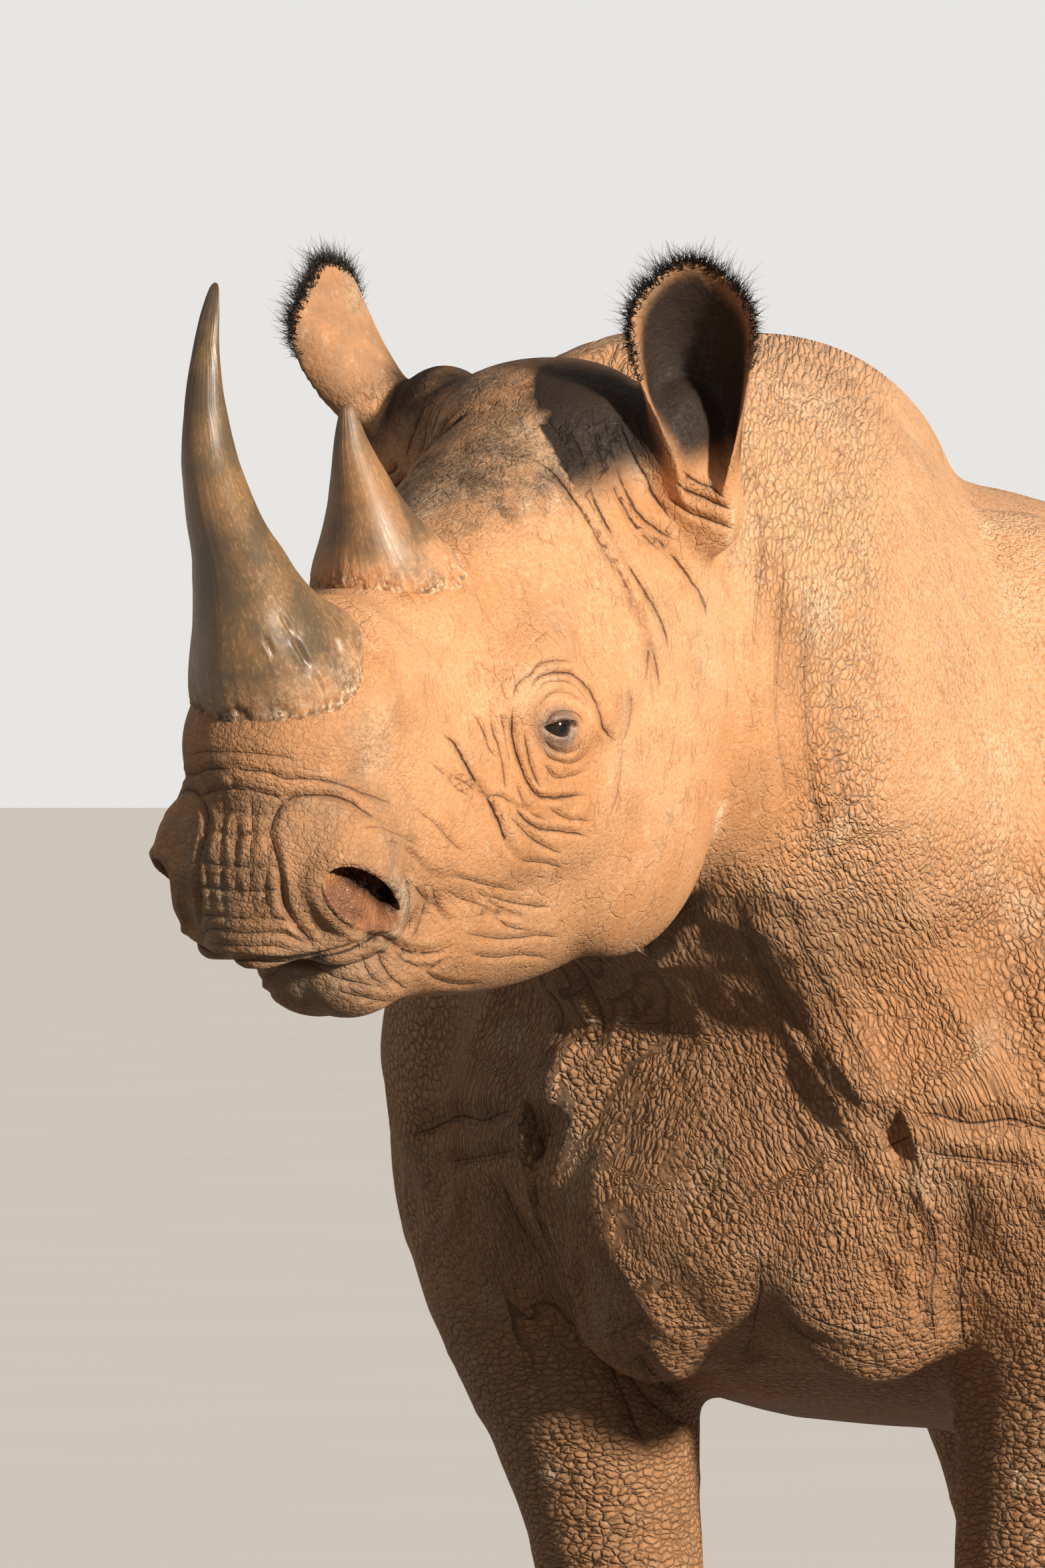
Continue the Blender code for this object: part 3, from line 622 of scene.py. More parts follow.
def path_place(points, path):
    """The distance from each point to a bent line, how far along the line that is, and on which side."""
    path = np.asarray(path, float)
    lengths = np.linalg.norm(np.diff(path, axis=0), axis=1)
    reached = np.concatenate([[0], np.cumsum(lengths)])
    best, along, side = np.full(len(points), 1e9), np.zeros(len(points)), np.ones(len(points))
    for start, end, length, done in zip(path, path[1:], lengths, reached):
        way, off = end - start, points - start
        share = np.clip(off @ way / length ** 2, 0, 1)
        gone = np.linalg.norm(off - share[:, None] * way, axis=1)
        nearer = gone < best
        best[nearer] = gone[nearer]
        along[nearer] = (done + share * length)[nearer]
        side[nearer] = np.sign(way[0] * off[:, 1] - way[1] * off[:, 0])[nearer]
    return best, along, side


def path_distance(points, path):
    """The distance from each point to a bent line and how far along the line, from 0 to 1, that is."""
    best, along, _ = path_place(points, path)
    return best, along / np.linalg.norm(np.diff(np.asarray(path, float), axis=0), axis=1).sum()


def curved(path, steps=4):
    """A smooth curve through a path's points."""
    path = np.asarray(path, float)
    if len(path) < 3:
        return path
    ends = np.vstack([2 * path[0] - path[1], path, 2 * path[-1] - path[-2]])
    made = []
    for a, b, c, d in zip(ends, ends[1:], ends[2:], ends[3:]):
        for t in np.arange(steps) / steps:
            made.append(0.5 * (2 * b + (c - a) * t + (2 * a - 5 * b + 4 * c - d) * t ** 2
                               + (3 * b - a - 3 * c + d) * t ** 3))
    return np.vstack([made, path[-1:]])


LIP_GAP, LIP_REACH, LIP_RISE = 2.1, 1.1, 0.34    # of a fold's lips, in its widths and its depth


def near_lines(flat, facing, folds, reach):
    """Each fold's depth, width and line, and the points that may lie within reach of it, if there are any."""
    for depth, width, *path in folds:
        line = curved(path)
        spare = reach(width)
        inside = ((flat > line.min(0) - spare) & (flat < line.max(0) + spare)).all(1)
        near = np.nonzero(inside & (facing > 0))[0]
        if len(near):
            yield depth, width, line, near


def crease(flat, facing, folds):
    """How far folds move the skin along its normal, and how deep in a fold each point lies, 0 to 1."""
    moved, hollow = np.zeros(len(flat)), np.zeros(len(flat))
    for depth, width, line, near in near_lines(flat, facing, folds, lambda width: 5 * width):
        gap, along = path_distance(flat[near], line)
        taper = smoothstep(np.minimum(along, 1 - along), -0.02, 0.22) * facing[near]
        valley = bell(gap, width)
        lips = bell(gap - LIP_GAP * width, LIP_REACH * width)
        moved[near] += taper * depth * MM * (LIP_RISE * lips - valley)
        hollow[near] = np.maximum(hollow[near], taper * valley * min(1.0, depth / 2.5))
    return moved, hollow


FOLD_REACH = 10.0                           # millimetres from a fold's line that its own coordinate spans


def fold_lines(flat, facing, folds):
    """The signed distance to the nearest fold's line, 0.5 on it, and how strong the line is there."""
    first, second = np.full(len(flat), 1e9), np.full(len(flat), 1e9)
    signed, strength = np.full(len(flat), FOLD_REACH), np.zeros(len(flat))
    for depth, _, line, near in near_lines(flat, facing, folds, lambda width: 2 * FOLD_REACH):
        gap, along, side = path_place(flat[near], line)
        along /= along.max() + 1e-6
        taper = smoothstep(np.minimum(along, 1 - along), -0.02, 0.16) * facing[near]
        closer = gap < first[near]
        second[near] = np.where(closer, first[near], np.minimum(second[near], gap))
        mine = near[closer]
        first[mine] = gap[closer]
        signed[mine] = (gap * side)[closer]
        fade = 1 - smoothstep(gap, 0.25 * FOLD_REACH, 0.50 * FOLD_REACH)
        strength[mine] = (taper * fade * min(1.0, depth / 3.4))[closer]
    strength *= smoothstep(second - first, 1.0, 4.0)
    return 0.5 + np.clip(signed, -FOLD_REACH, FOLD_REACH) / (2 * FOLD_REACH), strength


FACE_FOLDS = [  # depth, width, then a line of places as seen from the eye point: all in millimetres
    # rings round the eye
    (1.6, 2.0, (-35, -131), (-29, -122), (-19, -119), (-8, -122), (-1, -131)),
    (1.3, 1.8, (-36, -142), (-29, -150), (-17, -153), (-8, -149), (-3, -141)),
    (1.2, 1.8, (-36, -150), (-30, -158), (-15, -162), (-4, -158), (3, -148)),
    (1.4, 2.0, (-36, -162), (-27, -173), (-13, -172), (-1, -167)),
    (2.6, 2.6, (-60, -113), (-62, -130), (-60, -148), (-55, -163), (-46, -183), (-34, -190), (-15, -189),
     (2, -187)),
    (2.0, 2.2, (-51, -134), (-50, -148), (-44, -171), (-37, -184)),
    (1.6, 2.2, (-60, -113), (-58, -98), (-47, -90), (-40, -81), (-25, -78), (-10, -80)),
    (2.4, 2.4, (-45, -104), (-43, -94), (-32, -89), (-15, -89), (-2, -98), (5, -109), (10, -122), (13, -134),
     (20, -141), (27, -147)),
    (1.0, 1.8, (-42, -108), (-36, -98), (-24, -95), (-10, -98), (-2, -108), (4, -120)),
    (1.0, 1.8, (-38, -114), (-30, -106), (-20, -104), (-8, -108), (0, -118)),
    (1.4, 2.2, (27, -148), (33, -134), (36, -117), (34, -100)),
    (1.2, 2.2, (27, -148), (28, -163), (24, -190), (18, -206)),
    # between the eye and the muzzle
    (1.6, 2.4, (-79, -122), (-77, -137), (-72, -150), (-68, -171), (-66, -188)),
    (1.4, 2.2, (-94, -120), (-85, -135), (-81, -148), (-73, -160)),
    (1.2, 2.2, (-71, -118), (-69, -132), (-65, -150), (-62, -168)),
    (3.6, 3.0, (-120, -135), (-107, -148), (-99, -163), (-90, -180), (-84, -188), (-77, -199), (-71, -214),
     (-66, -226), (-55, -238)),
    (2.0, 2.4, (-113, -171), (-99, -178), (-90, -184)),
    (1.5, 2.2, (-128, -160), (-114, -174), (-104, -184), (-96, -188)),
    (1.8, 2.4, (-83, -188), (-70, -189), (-62, -194), (-52, -198), (-42, -200)),
    (2.2, 2.6, (-62, -190), (-51, -208), (-36, -216), (-15, -218), (2, -222)),
    (1.6, 2.4, (-64, -204), (-51, -218), (-40, -227), (-19, -237)),
    (1.5, 2.4, (-32, -197), (-19, -206), (5, -209)),
    (1.3, 2.4, (-68, -227), (-55, -240), (-36, -243), (-18, -248)),
    (1.4, 2.4, (-58, -178), (-54, -190), (-46, -203), (-32, -208)),
    # cheek and side of the mouth
    (1.8, 2.6, (-81, -270), (-58, -276), (-43, -278), (-28, -279)),
    (2.0, 2.6, (-92, -287), (-81, -284), (-69, -284), (-50, -288)),
    (1.8, 2.6, (-92, -265), (-78, -275), (-64, -284), (-50, -288)),
    (1.3, 2.4, (-120, -250), (-100, -256), (-78, -262), (-55, -266)),
    (1.3, 2.4, (-118, -263), (-104, -272), (-86, -278), (-66, -294), (-44, -299)),
    (1.2, 2.2, (-152, -227), (-141, -238), (-129, -248), (-112, -254)),
    (1.2, 2.2, (-174, -208), (-163, -211), (-150, -214)),
    (1.5, 2.4, (-104, -300), (-86, -303), (-66, -305), (-40, -302), (-20, -304)),
    (1.3, 2.4, (-98, -316), (-78, -320), (-52, -318), (-28, -322)),
    # nose and muzzle
    (1.8, 2.4, (-311, -160), (-292, -163), (-284, -167), (-262, -169), (-246, -174), (-222, -175),
     (-202, -179), (-186, -185), (-168, -191), (-152, -200)),
    (1.8, 2.4, (-305, -179), (-288, -182), (-270, -185), (-254, -189), (-247, -193)),
    (1.4, 2.2, (-300, -152), (-282, -153), (-258, -155), (-236, -159)),
    (2.6, 3.2, (-156, -212), (-168, -208), (-182, -201), (-198, -191), (-218, -188), (-238, -189),
     (-249, -196), (-256, -208), (-258, -219), (-254, -236), (-250, -257), (-249, -276), (-240, -292)),
    (1.8, 2.4, (-288, -165), (-288, -195), (-284, -217), (-288, -245), (-286, -265), (-290, -284)),
    (1.5, 2.2, (-262, -200), (-262, -217), (-260, -241), (-262, -265), (-260, -290)),
    (1.3, 2.0, (-274, -180), (-273, -210), (-275, -245), (-272, -280), (-270, -300)),
    (1.5, 2.2, (-300, -220), (-278, -220), (-258, -218)),
    (1.6, 2.2, (-300, -245), (-270, -246), (-250, -245)),
    (1.8, 2.2, (-316, -265), (-288, -266), (-258, -265), (-246, -264)),
    (1.9, 2.2, (-314, -287), (-282, -288), (-254, -288), (-238, -292)),
    (1.9, 2.2, (-304, -298), (-278, -300), (-254, -299), (-234, -306), (-224, -312)),
    (1.4, 2.0, (-300, -309), (-276, -311), (-254, -311), (-238, -316)),
    (1.3, 2.2, (-300, -200), (-280, -202), (-262, -204)),
    (1.4, 2.4, (-168, -225), (-154, -227), (-138, -241), (-126, -253), (-106, -258)),
    (1.3, 2.4, (-142, -197), (-122, -213), (-112, -225), (-98, -236)),
    (1.2, 2.4, (-186, -214), (-170, -214), (-152, -221), (-136, -230)),
    # creases beside the nostril and round the corner of the mouth
    (2.2, 2.4, (-143, -259), (-132, -273), (-122, -280), (-108, -296)),
    (1.8, 2.2, (-132, -273), (-136, -290), (-142, -304)),
    (1.6, 2.2, (-126, -262), (-124, -276), (-116, -288), (-104, -290)),
    (2.4, 2.6, (-149, -252), (-145, -268), (-146, -286), (-150, -302)),
    (3.0, 3.0, (-249, -254), (-246, -278), (-238, -292), (-228, -304), (-220, -314)),
    (2.4, 2.6, (-158, -313), (-146, -324), (-128, -328), (-116, -321)),
    (2.2, 2.6, (-172, -311), (-168, -324), (-158, -338), (-145, -347)),
    (1.8, 2.4, (-184, -316), (-181, -328), (-170, -343), (-160, -350)),
    (1.6, 2.4, (-230, -322), (-218, -329), (-206, -336), (-184, -341), (-160, -345)),
    (1.8, 2.6, (-138, -318), (-126, -336), (-104, -342), (-84, -340)),
    (1.6, 2.6, (-208, -346), (-184, -352), (-156, -356), (-128, -352), (-100, -350)),
    # crown and temple
    (3.8, 3.2, (-29, 126), (-16, 110), (-2, 83), (2, 62), (9, 45), (21, 23), (33, 2)),
    (5.1, 3.4, (2, 145), (4, 120), (9, 91), (19, 68), (31, 45), (44, 25), (65, 8)),
    (4.2, 3.2, (13, 129), (17, 102), (25, 75), (36, 50), (50, 33), (75, 18)),
    (3.5, 3.0, (25, 131), (29, 108), (38, 87), (48, 70), (54, 56), (69, 35)),
    (3.2, 3.0, (-41, 124), (-25, 108), (-10, 83), (-2, 66)),
    (2.9, 3.0, (-50, 91), (-29, 75), (-12, 54), (2, 33), (13, 12), (25, -11)),
    (2.9, 3.0, (2, 41), (13, 20), (23, 0), (35, -25), (46, -50), (50, -75), (48, -96)),
    (2.9, 3.0, (19, 23), (33, 0), (46, -21), (60, -46), (67, -71)),
    (2.9, 3.0, (50, 27), (65, 12), (81, -8), (94, -29), (98, -46)),
    (2.4, 2.8, (29, -20), (42, -45), (54, -72), (60, -104)),
    (2.9, 2.6, (77, 77), (88, 68), (102, 62), (112, 54)),
    (2.9, 2.6, (70, 68), (82, 60), (100, 52), (118, 44)),
    (2.4, 2.6, (64, 56), (80, 44), (100, 36), (122, 28)),
    (2.6, 2.8, (40, 128), (44, 108), (52, 92), (62, 78)),
]
BODY_FOLDS = [  # as for the face, on the neck, throat, chest and forelegs
    (9.0, 8.0, (-66, -360), (-24, -357), (18, -329), (60, -298), (91, -264), (113, -225), (125, -192)),
    (4.0, 4.0, (1, -348), (29, -351), (55, -357)),
    (3.4, 4.0, (-30, -368), (4, -370), (40, -374), (66, -372)),
    (2.6, 4.0, (-15, -387), (18, -390), (46, -399)),
    (-11.0, 32.0, (128, -200), (147, -275), (168, -312), (186, -348), (203, -393), (228, -438), (245, -457)),
    (2.2, 5.0, (152, -240), (172, -300), (196, -350), (222, -400), (244, -436)),
    (2.2, 5.0, (116, -262), (140, -320), (166, -362), (188, -404), (208, -446)),
    (-8.0, 22.0, (196, -385), (214, -420), (232, -448)),
    (15.0, 26.0, (242, -476), (253, -470), (264, -466)),
    (5.0, 9.0, (262, -446), (285, -448), (312, -455), (345, -452), (373, -460), (410, -470)),
    (2.6, 6.0, (270, -478), (300, -482), (336, -486), (370, -490)),
    (7.0, 8.0, (-10, -399), (8, -428), (27, -457), (48, -482), (69, -508)),
    (7.0, 8.0, (-153, -466), (-136, -452), (-111, -448), (-87, -457), (-73, -469), (-56, -490)),
    (5.0, 6.0, (11, -602), (21, -630), (42, -672), (70, -696), (91, -700)),
    (5.0, 6.0, (32, -630), (53, -658), (80, -682)),
    (4.5, 6.0, (-8, -560), (2, -590), (16, -640), (34, -690), (54, -730)),
    (4.0, 14.0, (140, -553), (141, -588), (133, -630), (126, -651)),
    (3.0, 9.0, (147, -581), (175, -609), (210, -623), (245, -633)),
    (5.0, 7.0, (150, -600), (178, -628), (214, -646), (250, -655)),
    (7.0, 14.0, (304, -494), (314, -539), (304, -588), (307, -644)),
    (5.0, 6.0, (276, -520), (284, -560), (280, -600), (284, -640)),
    # long upright folds of the neck behind the jaw and ear
    (1.8, 5.0, (138, 60), (142, 10), (138, -40), (134, -90), (136, -140), (140, -190)),
    (1.8, 5.0, (158, 40), (160, -10), (157, -60), (154, -110), (158, -160), (166, -210)),
    (1.6, 5.0, (178, 10), (179, -40), (177, -90), (180, -150), (190, -210), (204, -260)),
    (1.4, 5.0, (200, -10), (200, -60), (200, -120), (208, -180), (220, -240)),
    (2.6, 4.0, (-62, 101), (-68, 75), (-68, 50), (-59, 18)),
]


MOUTH_LINE = [(-300, -312), (-284, -320), (-268, -323), (-240, -323), (-206, -317), (-188, -311),
              (-172, -302), (-163, -305), (-152, -313), (-138, -316), (-122, -315), (-106, -308)]
NOSTRIL_AT, NOSTRIL_HALF = np.array((-184.0, -274.0)), np.array((36.0, 23.0))
NOSTRIL_TURN = math.radians(-34)
NOSTRIL_DEPTH, NOSTRIL_LIP = 0.042, 0.0030
NOSTRIL_WAY = np.array((-0.80, -0.42, 0.42)) / np.linalg.norm((-0.80, -0.42, 0.42))
FACE_LINES = FACE_FOLDS + [(6.5, 3.6, *MOUTH_LINE)]


def nostril(flat):
    """How far inside the nostril's rim points lie, above 0 inside, and how high in it, 0 to 1."""
    away = flat - NOSTRIL_AT
    cos, sin = math.cos(NOSTRIL_TURN), math.sin(NOSTRIL_TURN)
    along, rise = away[:, 0] * cos + away[:, 1] * sin, away[:, 1] * cos - away[:, 0] * sin
    inside = 1 - np.sqrt((along / NOSTRIL_HALF[0]) ** 2 + (rise / NOSTRIL_HALF[1]) ** 2)
    return inside, np.clip(0.5 + 0.5 * rise / NOSTRIL_HALF[1], 0, 1)


FACING = (-0.05, 0.30)                      # a fold shows from none to all of its depth between these
EAR_FOOT = (-0.030, 0.010)


def toward_eye_point(co, normal):
    """How squarely the skin faces the eye point."""
    way = EYE_POINT - co
    return (normal * way).sum(1) / np.linalg.norm(way, axis=1)


def half_head(co, normal):
    """Points and normals brought to the head's left half."""
    local, turned = in_head(co), normal @ HEAD_TURNED
    right = local[:, 1] < 0
    local[right, 1] *= -1
    turned[right, 1] *= -1
    return local @ HEAD_TURNED.T + np.array(HEAD_AT), turned @ HEAD_TURNED.T, local


def refine(skin, chosen):
    """Halves the grid where chosen is true."""
    bm = bmesh.new()
    bm.from_mesh(skin.data)
    edges = [e for e in bm.edges if chosen[e.verts[0].index] and chosen[e.verts[1].index]]
    bmesh.ops.subdivide_edges(bm, edges=edges, cuts=1, use_grid_fill=True)
    bm.to_mesh(skin.data)
    bm.free()


SWELLS = [  # the place in head axes on the left, the reach and the height in millimetres
    ((0.330, 0.140, -0.026), 42, 8.0),
    ((0.235, 0.145, 0.055), 50, -7.0),
    ((0.130, 0.140, -0.120), 90, 4.0),
    ((0.400, 0.110, -0.060), 45, -4.0),
    ((0.490, 0.082, 0.052), 42, 20.0),
    ((0.530, 0.030, -0.175), 58, 19.0),
]


SADDLE_RISE = 0.038                         # the hide's rise between the two horns


def model_swells(skin):
    co, normal = points_of(skin.data), normals_of(skin.data)
    local = left_half(co)
    moved = np.zeros(len(co))
    for place, reach, height in SWELLS:
        moved += height * MM * bell_round(local, place, reach * MM)
    x, y, z = local.T
    saddle = bell(x - 0.452, 0.050) * (1 - smoothstep(y, 0.070, 0.135)) * smoothstep(z, -0.04, 0.04)
    up = np.array(HEAD.to_3x3() @ Vector((0, 0, 1)))
    put_points(skin.data, co + normal * moved[:, None] + up * (SADDLE_RISE * saddle)[:, None])


def eye_axes():
    """The left eye's own axes in head axes: along the lids, up, and out of the eye."""
    out = np.array(EYE_LOOK)
    level = HEAD_TURNED.T @ np.array((0, 0, 1.0))
    along = np.cross(level, out)
    along /= np.linalg.norm(along)
    return np.stack([along, np.cross(out, along), out])


LID_RADIUS = EYE_RADIUS + 0.0026
LID_HALF, LID_RISE, LID_DROP, LID_BACK = 0.0186, 0.0070, 0.0080, 0.0020
LID_TURN, LID_FALL = 0.62, 0.62             # how far out the dome is round, in radii, and its slope beyond
LID_HOLD = (0.0120, 0.0330)                 # where the dome gives way to the skin's own shape
SOCKET_RADIUS = 0.0125                      # of the skin drawn in behind the opening


def lid_gap(place):
    """How far inside the opening between the lids points are, in metres; place is in the eye's axes."""
    share = np.clip(1 - ((place[:, 0] - LID_BACK) / LID_HALF) ** 2, 0, None)
    edge = np.where(place[:, 1] > 0, LID_RISE * share ** 0.8, LID_DROP * share ** 0.7)
    return np.where(share > 0, edge - np.abs(place[:, 1]), -1.0)


def model_lids(skin):
    """Lays the skin round each eye as two lids with an opening between them."""
    co = points_of(skin.data)
    axes = eye_axes()
    place = (left_half(co) - np.array(EYE_AT)) @ axes.T
    flat = np.hypot(place[:, 0], place[:, 1])
    near = (flat < 0.035) & (place[:, 2] > 0)
    turn = LID_TURN * LID_RADIUS
    dome = np.sqrt(LID_RADIUS ** 2 - np.minimum(flat, turn) ** 2) - LID_FALL * np.clip(flat - turn, 0, None)
    hold = 1 - smoothstep(flat, *LID_HOLD)
    new = place.copy()
    new[:, 2] = np.where(near, place[:, 2] + (dome - place[:, 2]) * hold, place[:, 2])
    inside = smoothstep(lid_gap(place), -0.0003, 0.0012) * near
    length = np.linalg.norm(new, axis=1)
    new += new * ((SOCKET_RADIUS / np.maximum(length, 1e-6) - 1) * inside)[:, None]
    shifted = (new - place) @ axes
    shifted[:, 1] *= np.where(in_head(co)[:, 1] < 0, -1.0, 1.0)
    put_points(skin.data, co + shifted @ HEAD_TURNED.T)


def model_face(skin):
    """Nostrils, mouth and the folds of the face."""
    co, normal = points_of(skin.data), normals_of(skin.data)
    left, left_normal, local = half_head(co, normal)
    flat = seen(left)
    facing = smoothstep(toward_eye_point(left, left_normal), *FACING) * smoothstep(local[:, 0], -0.10, -0.02)
    facing *= 1 - ear_share(co, *EAR_FOOT)
    inside, rise = nostril(flat)
    muzzle = facing * (local[:, 0] > 0.45)
    depth = smoothstep(inside, 0.0, 0.30) * (0.20 + 0.80 * smoothstep(rise, 0.15, 0.75)) * muzzle
    rim = bell(inside + 0.22, 0.20) * muzzle
    pushed = depth[:, None] * NOSTRIL_WAY * NOSTRIL_DEPTH
    pushed[:, 1] *= np.where(in_head(co)[:, 1] < 0, -1.0, 1.0)
    co = co + pushed @ HEAD_TURNED.T + normal * (rim * NOSTRIL_LIP)[:, None]
    put_points(skin.data, co)
    normal = normals_of(skin.data)
    gate = facing * (1 - smoothstep(inside, -0.05, 0.10))
    moved, _ = crease(flat, gate, FACE_LINES)
    put_points(skin.data, co + normal * moved[:, None])


def turned_about_y(co, degrees):
    angle = math.radians(degrees)
    x, y, z = co.T
    cos, sin = math.cos(angle), math.sin(angle)
    return np.stack([x * cos - z * sin, y, x * sin + z * cos], axis=1)


SIDE_FOLDS = [  # depth and width, then a line along the body and up, for both sides: all in millimetres
    # elbow, behind the shoulder, ribs
    (4.0, 7.0, (-150, 640), (-122, 705), (-70, 765), (-10, 800)),
    (3.0, 6.0, (-112, 610), (-84, 668), (-32, 722)),
    (4.0, 16.0, (-40, 1180), (-5, 1040), (-20, 900), (-70, 790)),
    (2.8, 24.0, (120, 1120), (160, 960), (150, 780)),
    (2.8, 24.0, (245, 1130), (290, 965), (275, 780)),
    (2.4, 24.0, (370, 1130), (412, 965), (398, 780)),
    # before the thigh, on it and behind it
    (9.0, 18.0, (862, 610), (880, 690), (925, 780), (990, 880), (1040, 960)),
    (3.0, 7.0, (912, 600), (938, 680), (985, 760), (1040, 820)),
    (5.0, 14.0, (1405, 1010), (1398, 890), (1350, 770), (1290, 690)),
    # knees, hocks and above the feet
    (2.6, 6.0, (-345, 345), (-270, 333), (-180, 345)),
    (2.4, 6.0, (-345, 316), (-268, 303), (-180, 314)),
    (2.2, 5.0, (-345, 288), (-268, 276), (-185, 286)),
    (2.6, 6.0, (-370, 150), (-275, 138), (-180, 148)),
    (2.6, 6.0, (985, 345), (1060, 330), (1150, 350)),
    (2.4, 6.0, (985, 312), (1060, 298), (1150, 316)),
    (2.6, 6.0, (900, 150), (1010, 138), (1110, 148)),
]


BREAST_SWELLS = [  # the place, the reach and the height in millimetres: the keel and what lies beside it
    ((-0.010, -0.525, 0.665), 75, 27.0),
    ((0.155, -0.500, 0.690), 80, -28.0),
    ((-0.150, -0.495, 0.690), 75, -20.0),
]


TOE_RISE, TOE_SWELL, TOE_REACH = 0.030, 0.023, 0.040


NECK_RELIEF, CHEST_RELIEF, LEG_RELIEF = 0.0022, 0.0028, 0.0016
FLANK_SWELL, FLANK_RELIEF = 0.006, 0.0014


def ridges(co, size, seed):
    """Low rounded ridges from -1 to 1, as wide as the size."""
    return 1 - 2 * np.abs(soft_noise(co, size, seed))


def behind_head(local):
    """1 off the head and 0 on it, for points in head axes."""
    return 1 - smoothstep(local[:, 0], -0.04, 0.04) * smoothstep(local[:, 2], -0.33, -0.27)


def side_gate(normal, local):
    """Where the flanks' and legs' own folds lie, 0 to 1."""
    return smoothstep(np.abs(normal[:, 0]), 0.20, 0.55) * (1 - smoothstep(local[:, 0], -0.30, -0.20))


def model_body(skin):
    """Folds and the loose lie of the hide on the neck, chest, flanks and legs."""
    co, normal = points_of(skin.data), normals_of(skin.data)
    local = in_head(co)
    body = co - np.array(SHIFT)
    near, near_facing = near_side(co, normal)
    off_head = behind_head(local)
    gate = smoothstep(near_facing, *FACING) * off_head * (1 - ear_share(co, *EAR_FOOT))
    moved, _ = crease(seen(near), gate, BODY_FOLDS)
    moved += crease(co[:, 1:] / MM, side_gate(normal, local), SIDE_FOLDS)[0]
    for place, reach, height in BREAST_SWELLS:
        moved += height * MM * bell_round(co, place, reach * MM)
    off_head *= 1 - smoothstep(local[:, 0], -0.06, 0.0) * (local[:, 2] > -0.2)
    neck = (1 - smoothstep(body[:, 1], -1.10, -0.95)) * smoothstep(co[:, 2], 0.95, 1.10)
    chest = (1 - smoothstep(body[:, 1], -0.70, -0.50)) * (1 - smoothstep(co[:, 2], 0.95, 1.15))
    legs = 1 - smoothstep(co[:, 2], 0.55, 0.75)
    flank = smoothstep(body[:, 1], -0.60, -0.30)
    upright = ridges(near, (0.030, 0.030, 0.20), 61)
    slanting = ridges(turned_about_y(near, -28), (0.030, 0.05, 0.14), 62)
    level = ridges(co, (0.16, 0.16, 0.028), 63)
    broad = soft_noise(co, (0.16, 0.24, 0.20), 64)
    moved += off_head * (NECK_RELIEF * neck * upright + CHEST_RELIEF * chest * (1 - legs) * slanting)
    moved += LEG_RELIEF * legs * level * smoothstep(co[:, 2], 0.06, 0.14)
    moved += off_head * flank * (FLANK_SWELL * broad + FLANK_RELIEF * upright * (1 - legs))
    for which in FEET:
        for side in SIDES:
            for _, turn, _ in NAILS:
                toe = np.array(nail_frame(which, side, turn).translation) + (0, 0, TOE_RISE)
                moved += TOE_SWELL * bell_round(co, toe, TOE_REACH)
    co = co + normal * moved[:, None]
    co[:, 2] = np.clip(co[:, 2], 0, None)
    put_points(skin.data, co)


def lighten(skin):
    """Thins the skin to its count of triangles, keeping most of them on the head."""
    co = points_of(skin.data)
    head = smoothstep(in_head(co)[:, 0], -0.30, 0.00)
    eye = 1 - smoothstep(eye_gap(co), 0.030, 0.050)
    group = skin.vertex_groups.new(name="thin")
    weight = 1.0 - 0.4 * head - 0.4 * eye
    for level in range(1, 21):
        chosen = np.nonzero((weight * 20).round().astype(int) == level)[0]
        if len(chosen):
            group.add(chosen.tolist(), level / 20, "REPLACE")
    triangles = sum(len(p.vertices) - 2 for p in skin.data.polygons)
    thin = skin.modifiers.new("thin", "DECIMATE")
    thin.ratio = SKIN_TRIANGLES / triangles
    thin.use_collapse_triangulate = True
    thin.vertex_group, thin.vertex_group_factor = "thin", 0.00002
    settle(skin)
    skin.vertex_groups.clear()


# ---------------------------------------------------------------- materials
def kept(make):
    """Makes a finish once and gives the same one each time."""
    made = {}

    def once(*key):
        if key not in made:
            made[key] = make(*key)
        return made[key]
    return once


def finish_piece(piece, material, slot, *replaced):
    piece.data.shade_smooth()
    piece.data.materials.clear()
    piece.data.materials.append(material)
    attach(piece, "root")
    if replaced:
        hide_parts(*replaced)


